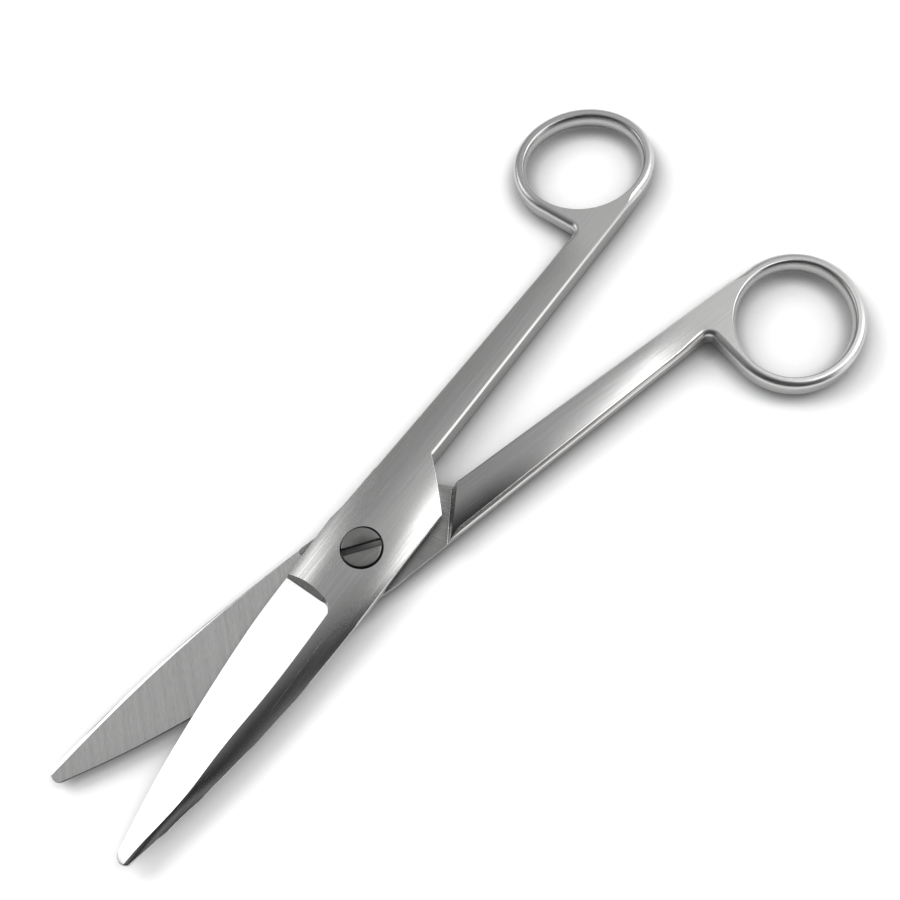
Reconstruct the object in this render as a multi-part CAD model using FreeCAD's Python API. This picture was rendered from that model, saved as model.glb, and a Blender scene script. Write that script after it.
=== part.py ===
"""Straight dissecting scissors with blunt tips: two forged halves turning on one slotted screw.

Each half is modelled in its own plan frame: u runs along the half from the tip to the ring,
v points outwards on the ring's side, and z = 0 is the plane in which the two halves slide.
The outer, crowned side of a half is at +z there. The second half is the first one turned
over about u. Units are millimetres.
"""

import FreeCAD, Part
import math
import os

from FreeCAD import Rotation, Vector

# Lengths along a half, measured from the pivot axis
BLADE_LENGTH = 66.5
TIP_ROUND = 0.8
HEEL_U = -11.3
BOX_START_U = 1.0
LAND_START_U = 75.0
RING_CENTRE_U = 88.7

# Widths of the plan
HEEL_V = 8.35
BOX_V = 8.75
SPINE_V = -7.8
SHANK_END_V = 6.15
WALL_V = 0.45
WEB_RADIUS = 1.3

# Blade plan: how far its two sides stand out at shares of the way from the heel to the tip
CUTTING_EDGE = [(0.16, 8.1), (0.38, 7.0), (0.62, 5.35), (0.803, 3.65)]
SPINE = [(0.803, -3.85), (0.555, -5.8), (0.28, -7.15)]
TIP_EDGE_V = 1.2
TIP_SPINE_V = -1.95

# Finger ring: an oval bow, slanted to the shank
RING_HOLE_LONG = 11.55
RING_HOLE_SHORT = 10.45
RING_BAND = 2.5
RING_SLANT = -40.0
RING_FLARE = 0.85
RING_EDGE_RADIUS = 1.2
SHANK_EDGE_RADIUS = 0.8
WALL_CHAMFER = 0.35

# Half of the thickness of ring and shank, and the crown of the outer side.
# A crown row holds its place, the crest's height and v, and the curvatures of the crown
# towards the spine and towards the ring's side. The place is a share of the way from the
# heel to the tip on the blade, and u on the rest.
LAND_Z = 2.15
SHANK_CURVATURE = 0.037
BLADE_CROWN = [
    (1.06, 1.17, -1.20, 0.520, 0.0),
    (0.895, 1.42, -1.00, 0.400, 0.0),
    (0.71, 1.78, -0.90, 0.180, 0.0),
    (0.49, 2.18, -0.75, 0.113, 0.0),
    (0.27, 2.52, -0.50, 0.090, 0.020),
    (0.05, 2.83, -0.20, 0.066, 0.050),
]
SHANK_CROWN = [
    (-4.0, 2.98, 0.00, 0.052, 0.050),
    (6.0, 2.93, 0.20, 0.048, 0.048),
    (16.0, 2.60, 0.40, 0.046, 0.043),
    (27.0, 2.25, 0.45, 0.040, 0.038),
    (40.0, 2.15, 0.45, 0.037, 0.037),
    (57.0, 2.15, 0.45, 0.037, 0.037),
    (66.0, 2.15, 0.45, 0.034, 0.034),
    (71.5, 2.15, 0.45, 0.014, 0.014),
    (75.0, 2.15, 0.45, 0.0, 0.0),
]

# Cutting bevel, ground into the crown from the cutting edge up to the ridge.
# A bevel row holds the share of the way to the tip, the height left standing at the edge,
# and the v of the edge and of the ridge.
BEVEL = [
    (1.042, 0.2, 1.0, -1.2),
    (0.84, 0.3, 3.3, -1.95),
    (0.62, 0.4, 5.35, -2.45),
    (0.38, 0.5, 7.0, -2.85),
    (0.16, 0.5, 8.1, -2.9),
    (-0.06, 0.5, 8.35, -2.5),
]
RUNOUT_U = -14.5
RUNOUT_SLANT = 0.22
RUNOUT_DRAFT = 50.0
RUNOUT_CORNER_V = -0.3
RUNOUT_RADIUS = 2.6

# Inner side: relief of the blade's face, and the chamfer along its spine
RELIEF_START_U = -9.3
RELIEF_DEPTH = 0.2
SPINE_CHAMFER_JOINT = 0.55
SPINE_CHAMFER_TIP = 0.95
SPINE_CHAMFER_RISE = 0.45

# Shoulder where the shank starts, and the box end that comes up to it when the scissors close
SHOULDER_U = 21.0
SHOULDER_SLANT = 40.4
SHOULDER_DRAFT = 28.0
SHOULDER_FOOT_RADIUS = 0.4
STOP_GAP = 0.5

# Pivot screw, and the play of the moving faces
SCREW_HEAD_RADIUS = 3.72
SCREW_HEAD_TOP = 2.82
SCREW_HEAD_SEAT = 1.5
SCREW_SHANK_RADIUS = 2.5
SCREW_THREAD_RADIUS = 2.1
SCREW_END = 2.85
SCREW_SLOT_WIDTH = 1.2
SCREW_SLOT_DEPTH = 0.75
SCREW_SLOT_ANGLE = -30.0
SCREW_EDGE = 0.15
HEAD_PLAY = 0.15
PIVOT_PLAY = 0.03
SEAT_PLAY = 0.03

# Angle between the two halves as they lie
OPENING = 16.6

# Reach of the cutting tools past the metal
TALL = 6.0
WIDE = 30.0
LONG = 120.0


def cos(angle):
    """Cosine of an angle in degrees."""
    return math.cos(math.radians(angle))


def sin(angle):
    """Sine of an angle in degrees."""
    return math.sin(math.radians(angle))


def tan(angle):
    """Tangent of an angle in degrees."""
    return math.tan(math.radians(angle))


def along_blade(rows):
    """Rows with their share of the way from the heel to the tip turned into u."""
    way = TIP_EDGE.x - HEEL_U
    return [(HEEL_U + way * share, *form) for share, *form in rows]


TIP_EDGE = Vector(TIP_ROUND - BLADE_LENGTH, TIP_EDGE_V, 0)
TIP_SPINE = Vector(TIP_ROUND - BLADE_LENGTH, TIP_SPINE_V, 0)
CROWN = along_blade(BLADE_CROWN) + SHANK_CROWN

# The ring's outer oval touches the inner wall's line, which sets how far out its centre lies
RING_LONG = RING_HOLE_LONG + RING_BAND
RING_SHORT = RING_HOLE_SHORT + RING_BAND
RING_REACH_V = math.hypot(RING_LONG * sin(RING_SLANT), RING_SHORT * cos(RING_SLANT))
RING_CENTRE_V = WALL_V + RING_REACH_V


def curve_through(points):
    """A smooth edge through points."""
    curve = Part.BSplineCurve()
    curve.interpolate([Vector(*p) for p in points])
    return curve.toShape()


def line(start, end):
    """A straight edge."""
    return Part.LineSegment(start, end).toShape()


def block(u_range, v_range, z_range):
    """A rectangular solid between three pairs of limits."""
    size = [high - low for low, high in (u_range, v_range, z_range)]
    return Part.makeBox(*size, Vector(u_range[0], v_range[0], z_range[0]))


def oval(grow, z):
    """The ring's slanted oval at height z, grown outwards from the hole's waist."""
    centre = Vector(RING_CENTRE_U, RING_CENTRE_V, z)
    long_radius = RING_HOLE_LONG + grow
    short_radius = RING_HOLE_SHORT + grow
    long_end = centre + Vector(cos(RING_SLANT), sin(RING_SLANT), 0) * long_radius
    short_end = centre + Vector(-sin(RING_SLANT), cos(RING_SLANT), 0) * short_radius
    return Part.Ellipse(long_end, short_end, centre)


def oval_extreme(along_u, along_v):
    """The point where the ring's outer oval reaches furthest in a direction."""
    long_share = along_u * cos(RING_SLANT) + along_v * sin(RING_SLANT)
    short_share = along_v * cos(RING_SLANT) - along_u * sin(RING_SLANT)
    angle = math.atan2(RING_SHORT * short_share, RING_LONG * long_share)
    return oval(RING_BAND, 0).value(angle)


def web_edges():
    """The plan's edges from the ring's left side by the small inside corner to the box."""
    box_outer = Vector(BOX_START_U, BOX_V, 0)
    top = oval_extreme(-1, 0)
    slope = (BOX_V - SHANK_END_V) / (LAND_START_U - BOX_START_U)
    corner = Vector(top.x, SHANK_END_V - slope * (top.x - LAND_START_U), 0)
    along_shank = (box_outer - corner).normalize()
    half_turn = math.degrees(along_shank.getAngle(Vector(0, 1, 0))) / 2
    setback = WEB_RADIUS / tan(half_turn)
    web_end = corner + Vector(0, setback, 0)
    shank_end = corner + along_shank * setback
    bisector = (web_end + shank_end - corner * 2).normalize()
    middle = corner + bisector * (WEB_RADIUS / sin(half_turn) - WEB_RADIUS)
    return [
        line(top, web_end),
        Part.Arc(web_end, middle, shank_end).toShape(),
        line(shank_end, box_outer),
    ]


def plan_face():
    """The plan of a half without its ring: from the web by the blade back to the ring."""
    heel = Vector(HEEL_U, HEEL_V, 0)
    tip = Vector(-BLADE_LENGTH, (TIP_EDGE.y + TIP_SPINE.y) / 2, 0)
    spine_start = Vector(HEEL_U, SPINE_V, 0)
    box_corner = Vector(SHOULDER_U + 1, SPINE_V, 0)
    wall_start = Vector(SHOULDER_U + 1, WALL_V, 0)
    wall_end = oval_extreme(0, -1)
    web = web_edges()
    edges = web + [
        line(web[-1].valueAt(web[-1].LastParameter), heel),
        curve_through([heel] + [(u, v, 0) for u, v in along_blade(CUTTING_EDGE)] + [TIP_EDGE]),
        Part.Arc(TIP_EDGE, tip, TIP_SPINE).toShape(),
        curve_through([TIP_SPINE] + [(u, v, 0) for u, v in along_blade(SPINE)] + [spine_start]),
        line(spine_start, box_corner),
        line(box_corner, wall_start),
        line(wall_start, wall_end),
        line(wall_end, oval_extreme(-1, 0)),
    ]
    return Part.Face(Part.Wire(edges))


def crown_face(rows):
    """A smooth face through crown rows, a parabola to each side of the crest."""
    grid = []
    for u, height, crest, spine_curvature, ring_curvature in rows:
        reach = min(10.3, 4.0 + 0.16 * (u - CROWN[0][0]))
        row = []
        for step in range(-4, 5):
            across = reach * step / 4
            curvature = spine_curvature if step < 0 else ring_curvature
            row.append(Vector(u, crest + across, height - curvature * across**2 / 2))
        grid.append(row)
    surface = Part.BSplineSurface()
    surface.interpolate(grid)
    return surface.toShape()


def ridge_height(u, v):
    """Height of the crown on its spine side, by straight interpolation between its rows."""
    for left, right in zip(CROWN, CROWN[1:]):
        if left[0] <= u <= right[0]:
            share = (u - left[0]) / (right[0] - left[0])
            height, crest, curvature, _ = (a + (b - a) * share for a, b in zip(left[1:], right[1:]))
            return height - curvature * (v - crest) ** 2 / 2
    return LAND_Z


def past_wall(distance, side):
    """Everything past a leaning wall: the shoulder's on side 1, the box end's on side -1."""
    normal = Vector(cos(SHOULDER_SLANT), side * sin(SHOULDER_SLANT), 0)
    wall = Part.makeBox(LONG, 2 * LONG, 2 * LONG, Vector(0, -LONG, -LONG))
    lean = normal + Vector(0, 0, side * tan(SHOULDER_DRAFT))
    wall.Placement = FreeCAD.Placement(normal * distance, Rotation(Vector(1, 0, 0), lean))
    return wall


def wall_distance():
    """Distance of the shoulder wall from the pivot in the sliding plane."""
    top = SHOULDER_U * cos(SHOULDER_SLANT) + WALL_V * sin(SHOULDER_SLANT)
    return top - LAND_Z * tan(SHOULDER_DRAFT)


def long_edges(shape, wanted):
    """The shape's edges whose two ends and middle all pass a test on a point."""
    found = []
    for edge in shape.Edges:
        first, last = edge.FirstParameter, edge.LastParameter
        points = [edge.valueAt(p) for p in (first, (first + last) / 2, last)]
        if all(wanted(point) for point in points):
            found.append(edge)
    return found


def seat_tool():
    """What is cut away below the sliding plane, from the shoulder to the tip."""
    below = block((-LONG, LONG), (-WIDE, WIDE), (-TALL, SEAT_PLAY))
    below = below.cut(past_wall(wall_distance(), 1))

    def at_shoulder_foot(q):
        return abs(q.z - SEAT_PLAY) < 0.01 and -LONG < q.x < LONG

    foot = [edge for edge in long_edges(below, at_shoulder_foot) if abs(edge.tangentAt(0).x) < 0.9]
    return below.makeFillet(SHOULDER_FOOT_RADIUS, foot)


def box_end_tool():
    """What is cut away past the box end, on the inner side of the shank's wall."""
    inner = block((0, LONG), (-WIDE, WALL_V), (-TALL, TALL))
    return inner.common(past_wall(wall_distance() - STOP_GAP, -1))


def drafted(points_at, low, high):
    """A solid between two like polygons at two heights; points_at gives the corners at a height."""
    wires = []
    for z in (low, high):
        points = [Vector(u, v, z) for u, v in points_at(z)]
        wires.append(Part.makePolygon(points + points[:1]))
    return Part.makeLoft(wires, True, True)


def bevel_tool():
    """The wheel's cut that leaves the bevel, with its run-out wall near the joint."""
    outer, inner = [], []
    for u, land, edge_v, ridge_v in along_blade(BEVEL):
        ridge_z = ridge_height(u, ridge_v)
        slope = (ridge_z - land) / (edge_v - ridge_v)
        outer.append(Vector(u, edge_v + 2.0, land - 2.0 * slope))
        inner.append(Vector(u, ridge_v - 1.0, ridge_z + slope))
    surface = Part.makeRuledSurface(curve_through(outer), curve_through(inner))
    above = surface.extrude(Vector(0, 0, 2 * TALL))

    def corners(z):
        wall_u = RUNOUT_U + z * tan(RUNOUT_DRAFT)
        centre_u = wall_u - RUNOUT_RADIUS
        corner = []
        for step in range(9):
            turn = 90.0 * step / 8
            across = RUNOUT_CORNER_V - RUNOUT_RADIUS * sin(turn)
            corner.append((centre_u + RUNOUT_RADIUS * cos(turn), across))
        far_end = [(-LONG, -WIDE), (-LONG, WIDE)]
        return [(wall_u + RUNOUT_SLANT * WIDE, WIDE)] + corner + far_end

    return above.common(drafted(corners, -TALL, TALL))


def relief_tool():
    """The thin wedge ground off the blade's inner face, deeper towards the spine."""
    tilt = RELIEF_DEPTH / (HEEL_V - SPINE_V)
    low_v = SPINE_V - 2.0
    wires = []
    for u in (RELIEF_START_U, -LONG):
        share = (u - HEEL_U) / (TIP_EDGE.x - HEEL_U)
        edge_v = HEEL_V + (TIP_EDGE.y - HEEL_V) * share
        corners = [
            Vector(u, edge_v, SEAT_PLAY),
            Vector(u, low_v, SEAT_PLAY + (edge_v - low_v) * tilt),
            Vector(u, low_v, -TALL),
            Vector(u, edge_v, -TALL),
        ]
        wires.append(Part.makePolygon(corners + corners[:1]))
    return Part.makeLoft(wires, True, True)


def spine_chamfer_tool():
    """What is cut off the inner face along the spine, wider towards the tip."""
    low, high = [], []
    past_tip = (TIP_SPINE.x - 2, TIP_SPINE.y + 0.4)
    for u, v in [past_tip, *along_blade(SPINE), (HEEL_U, SPINE_V), (RELIEF_START_U, SPINE_V)]:
        share = (u - RELIEF_START_U) / (TIP_SPINE.x - RELIEF_START_U)
        width = SPINE_CHAMFER_JOINT + (SPINE_CHAMFER_TIP - SPINE_CHAMFER_JOINT) * share
        low.append(Vector(u, v + 2 * width, SEAT_PLAY - SPINE_CHAMFER_RISE))
        high.append(Vector(u, v - width, SEAT_PLAY + 2 * SPINE_CHAMFER_RISE))
    surface = Part.makeRuledSurface(curve_through(low), curve_through(high))
    return surface.extrude(Vector(0, 0, -TALL))


def lower_rows():
    """Crown rows of the shank's other side, level with the ring's land."""
    rows = []
    for u, _, _, _, curvature in CROWN:
        flatter = min(curvature, SHANK_CURVATURE)
        if u > 0:
            rows.append((u, LAND_Z, WALL_V, flatter, flatter))
    return rows


def forging():
    """A half before grinding, without its ring and its screw hole."""
    body = plan_face().extrude(Vector(0, 0, LAND_Z + TALL))
    body.translate(Vector(0, 0, -LAND_Z))
    tools = [
        crown_face(CROWN).extrude(Vector(0, 0, 2 * TALL)),
        block((LAND_START_U, LONG), (-WIDE, WIDE), (LAND_Z, 2 * TALL)),
        crown_face(lower_rows()).extrude(Vector(0, 0, 2 * TALL)).mirror(Vector(), Vector(0, 0, 1)),
        seat_tool(),
        box_end_tool(),
    ]
    for tool in tools:
        body = body.cut(tool)
    body = body.removeSplitter()

    def on_outer_side(q):
        return q.y > 4 and q.x > BOX_START_U - 0.1 and abs(q.z) > 0.4

    outer = [edge for edge in long_edges(body, on_outer_side) if edge.Length > 2]
    return body.makeFillet(SHANK_EDGE_RADIUS, outer)


def wall_chamfer_tool():
    """What is cut off the shank's upper edge along the inner wall."""
    spare = 0.1
    low, high = [], []
    rows = [row for row in CROWN if row[0] > 15] + [(RING_CENTRE_U + 3, LAND_Z)]
    for u, height, *_ in rows:
        low.append(Vector(u, WALL_V - spare, height - WALL_CHAMFER - spare))
        high.append(Vector(u, WALL_V + WALL_CHAMFER + spare, height + spare))
    surface = Part.makeRuledSurface(curve_through(low), curve_through(high))
    past_box_end = block((SHOULDER_U + 0.3, LONG), (-WIDE, WIDE), (0, 2 * TALL))
    return surface.extrude(Vector(0, 0, TALL)).common(past_box_end)


def under_wall_chamfer_tool():
    """What is cut off the shank's lower edge along the inner wall."""
    spare = 0.1
    edge = Vector(SHOULDER_U, WALL_V, -LAND_Z)
    corners = [
        edge + Vector(0, -spare, WALL_CHAMFER + spare),
        edge + Vector(0, WALL_CHAMFER + spare, -spare),
        edge + Vector(0, -spare, -spare),
    ]
    profile = Part.Face(Part.makePolygon(corners + corners[:1]))
    return profile.extrude(Vector(RING_CENTRE_U + 3 - SHOULDER_U, 0, 0))


def oval_wire(grow, z):
    """The ring's oval as a wire."""
    return Part.Wire([oval(grow, z).toShape()])


def ring_disc():
    """The ring's outer oval as a disc with rounded edges, before the finger hole is cut."""
    disc = Part.Face(oval_wire(RING_BAND, -LAND_Z)).extrude(Vector(0, 0, 2 * LAND_Z))
    rims = [edge for edge in disc.Edges if edge.isClosed()]
    return disc.makeFillet(RING_EDGE_RADIUS, rims)


def finger_hole():
    """The finger hole, its side rounded like a barrel that flares out to both faces."""
    radius = (LAND_Z**2 + RING_FLARE**2) / (2 * RING_FLARE)
    wires = []
    for step in range(-5, 6):
        z = LAND_Z * step / 4
        wires.append(oval_wire(radius - math.sqrt(radius**2 - z**2), z))
    return Part.makeLoft(wires, True, False)


def bare_half():
    """A half without its screw hole: forged, ground and with its ring."""
    body = forging()
    grinding = [
        bevel_tool(),
        relief_tool(),
        spine_chamfer_tool(),
        wall_chamfer_tool(),
        under_wall_chamfer_tool(),
    ]
    for tool in grinding:
        body = body.cut(tool)
    return body.fuse(ring_disc()).cut(finger_hole()).removeSplitter()


def upright(radius, low, high):
    """A cylinder about the pivot axis between two heights."""
    return Part.makeCylinder(radius, high - low, Vector(0, 0, low))


def front_half():
    """The upper half, with the plain bore and the counterbore of the screw's head."""
    bore = upright(SCREW_SHANK_RADIUS + PIVOT_PLAY, -TALL, TALL)
    counterbore = upright(SCREW_HEAD_RADIUS + HEAD_PLAY, SCREW_HEAD_SEAT - SEAT_PLAY, TALL)
    return bare_half().cut(bore.fuse(counterbore))


def back_half():
    """The lower half, turned over, with the threaded hole that holds the screw."""
    body = bare_half().cut(upright(SCREW_THREAD_RADIUS, -TALL, TALL))
    body.rotate(Vector(), Vector(1, 0, 0), 180)
    return body


def pivot_screw():
    """The slotted screw: flat head, plain shank through the front half, end in the back half."""
    head = upright(SCREW_HEAD_RADIUS, SCREW_HEAD_SEAT, SCREW_HEAD_TOP)
    rim = [edge for edge in head.Edges if edge.isClosed() and edge.CenterOfMass.z > SCREW_HEAD_SEAT + 0.1]
    head = head.makeChamfer(SCREW_EDGE, rim)
    shank = upright(SCREW_SHANK_RADIUS, -SEAT_PLAY, SCREW_HEAD_SEAT)
    thread = upright(SCREW_THREAD_RADIUS, -SCREW_END, -SEAT_PLAY)
    slot_half = SCREW_SLOT_WIDTH / 2
    slot = block((-WIDE, WIDE), (-slot_half, slot_half), (SCREW_HEAD_TOP - SCREW_SLOT_DEPTH, TALL))
    slot.rotate(Vector(), Vector(0, 0, 1), SCREW_SLOT_ANGLE)
    return head.fuse([shank, thread]).cut(slot).removeSplitter()


def placed():
    """The three pieces as they lie, the middle of their lowest level at the origin."""
    front, back, screw = front_half(), back_half(), pivot_screw()
    front.rotate(Vector(), Vector(0, 0, 1), OPENING / 2)
    back.rotate(Vector(), Vector(0, 0, 1), -OPENING / 2)
    pieces = {"front_half": front, "back_half": back, "pivot_screw": screw}
    points = [point for piece in pieces.values() for point in piece.tessellate(0.01)[0]]
    along = [point.x for point in points]
    lift = -min(point.z for point in points)
    for piece in pieces.values():
        piece.translate(Vector(-(min(along) + max(along)) / 2, 0, lift))
    return pieces


os.makedirs("parts", exist_ok=True)
for name, piece in placed().items():
    solid = piece.Solids[0]
    solid.exportStep(f"parts/{name}.step")
    print(name, len(piece.Solids), solid.isValid(), len(solid.Faces), solid.Volume, solid.CenterOfMass)
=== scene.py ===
"""Looks of the straight dissecting scissors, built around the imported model.

The two halves are congruent: each is meshed from the same height functions over one plan, u along
the half from tip to ring, v outwards on the ring's side, z up out of the crowned side, and the
second half is the first one turned over about u. Their plan is triangulated along its creases,
and every corner gets the exact normal of the surface it belongs to, so polished faces stay true.
Plan sizes are in millimetres; what reaches Blender is in metres, in the row frame.
"""

import logging
import math
from dataclasses import dataclass, field
from enum import Enum, IntEnum
from typing import Callable, Dict, List, Optional, Sequence, Tuple, Union

import bpy
import numpy as np
from mathutils import Matrix, Vector
from mathutils.geometry import delaunay_2d_cdt

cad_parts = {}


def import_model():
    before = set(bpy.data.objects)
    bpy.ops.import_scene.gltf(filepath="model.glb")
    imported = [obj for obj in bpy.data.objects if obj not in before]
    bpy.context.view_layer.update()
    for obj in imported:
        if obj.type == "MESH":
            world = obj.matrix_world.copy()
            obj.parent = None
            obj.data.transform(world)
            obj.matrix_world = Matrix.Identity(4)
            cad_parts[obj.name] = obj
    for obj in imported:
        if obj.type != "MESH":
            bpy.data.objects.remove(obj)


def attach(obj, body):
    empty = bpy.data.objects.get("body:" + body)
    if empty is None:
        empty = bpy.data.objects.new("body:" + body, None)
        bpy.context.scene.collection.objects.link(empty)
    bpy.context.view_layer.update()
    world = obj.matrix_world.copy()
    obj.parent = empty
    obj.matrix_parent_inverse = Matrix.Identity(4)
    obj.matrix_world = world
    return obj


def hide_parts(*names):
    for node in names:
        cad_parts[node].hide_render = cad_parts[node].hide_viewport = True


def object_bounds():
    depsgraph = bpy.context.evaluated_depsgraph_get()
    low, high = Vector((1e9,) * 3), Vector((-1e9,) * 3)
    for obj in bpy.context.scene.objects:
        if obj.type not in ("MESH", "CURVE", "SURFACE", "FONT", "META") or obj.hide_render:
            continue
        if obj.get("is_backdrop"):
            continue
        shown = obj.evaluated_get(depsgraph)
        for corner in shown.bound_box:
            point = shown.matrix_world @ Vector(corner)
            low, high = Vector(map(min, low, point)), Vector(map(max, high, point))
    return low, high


log = logging.getLogger("scissors")

Array = np.ndarray
Height = Callable[[Array, Array], Array]
Point = Tuple[float, float]
Rows = Tuple[Tuple[float, ...], ...]
Socket = bpy.types.NodeSocket

MM = 0.001
# Plan coordinates reach the materials in units of 100 mm
PLAN_SCALE = 0.01

# Where the pivot stands in the row frame, and how far each half is turned about it at rest
PIVOT = (-16.8771, 0.0, 2.9904)
HALF_ANGLE = 8.3

# Heights that stand for a surface that isn't there, so that another one wins
FAR_ABOVE = 99.0
FAR_BELOW = -9.0
TINY = 1e-9


class Region(IntEnum):
    """Kinds of surface on a half; each has its own finish."""

    CROWN = 0
    BEVEL = 1
    RUNOUT = 2
    RING_HOLE = 3
    LAND = 4
    INNER_FACE = 5
    SEAT = 6
    SHOULDER = 7
    CHAMFER = 8
    SIDE = 9
    ROUND = 10
    BORE = 11
    EDGE = 12
    UNDER = 13
    RING_RIM = 14


class Side(Enum):
    """The two faces of a half, with the way each one looks along z."""

    UPPER = 1.0
    LOWER = -1.0

    @property
    def opposite(self) -> "Side":
        """The other face."""
        return Side(-self.value)


class Run(IntEnum):
    """Stretches of a half's rim, anticlockwise from under the ring."""

    RING = 0
    WEB = 1
    SHANK = 2
    HEEL = 3
    EDGE = 4
    TIP = 5
    SPINE = 6
    BOX = 7
    END = 8
    WALL = 9


# Size of the broken edge along each run, on the upper and on the lower side; shank and wall change on
# their way, by the gains that RimPlan holds
BREAKS = {
    Run.RING: (1.2, 1.2),
    Run.WEB: (1.2, 1.2),
    Run.HEEL: (0.1, 0.04),
    Run.EDGE: (0.03, 0.15),
    Run.TIP: (0.4, 0.1),
    Run.SPINE: (0.1, 0.03),
    Run.BOX: (0.22, 0.05),
    Run.END: (0.07, 0.04),
    Run.SHANK: (0.1, 0.04),
    Run.WALL: (0.08, 0.05),
}


class Spline:
    """Natural cubic spline through stations, straight past its ends."""

    def __init__(self, xs: Sequence[float], ys: Sequence[float]) -> None:
        """Solves the spline.

        Args:
            xs: Places of the stations, in any order.
            ys: Value at each station.
        """
        order = np.argsort(xs)
        self.x = np.asarray(xs, float)[order]
        self.y = np.asarray(ys, float)[order]
        n = len(self.x)
        gap = np.diff(self.x)
        system = np.zeros((n, n))
        right = np.zeros(n)
        system[0, 0] = system[-1, -1] = 1.0
        for i in range(1, n - 1):
            system[i, i - 1] = gap[i - 1]
            system[i, i] = 2 * (gap[i - 1] + gap[i])
            system[i, i + 1] = gap[i]
            rise = (self.y[i + 1] - self.y[i]) / gap[i] - (self.y[i] - self.y[i - 1]) / gap[i - 1]
            right[i] = 6 * rise
        self.m = np.linalg.solve(system, right)

    def __call__(self, at: Array) -> Array:
        """Values of the spline.

        Args:
            at: Places along the spline.

        Returns:
            One value for each place.
        """
        at = np.asarray(at, float)
        i = np.clip(np.searchsorted(self.x, at) - 1, 0, len(self.x) - 2)
        h = self.x[i + 1] - self.x[i]
        within = np.clip(at, self.x[0], self.x[-1])
        a = (self.x[i + 1] - within) / h
        b = (within - self.x[i]) / h
        bend = ((a**3 - a) * self.m[i] + (b**3 - b) * self.m[i + 1]) * h * h / 6
        value = a * self.y[i] + b * self.y[i + 1] + bend
        slope_low = (self.y[1] - self.y[0]) / (self.x[1] - self.x[0])
        slope_low -= (self.x[1] - self.x[0]) * self.m[1] / 6
        slope_high = (self.y[-1] - self.y[-2]) / (self.x[-1] - self.x[-2])
        slope_high += (self.x[-1] - self.x[-2]) * self.m[-2] / 6
        value = value + np.minimum(at - self.x[0], 0) * slope_low
        return value + np.maximum(at - self.x[-1], 0) * slope_high


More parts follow.
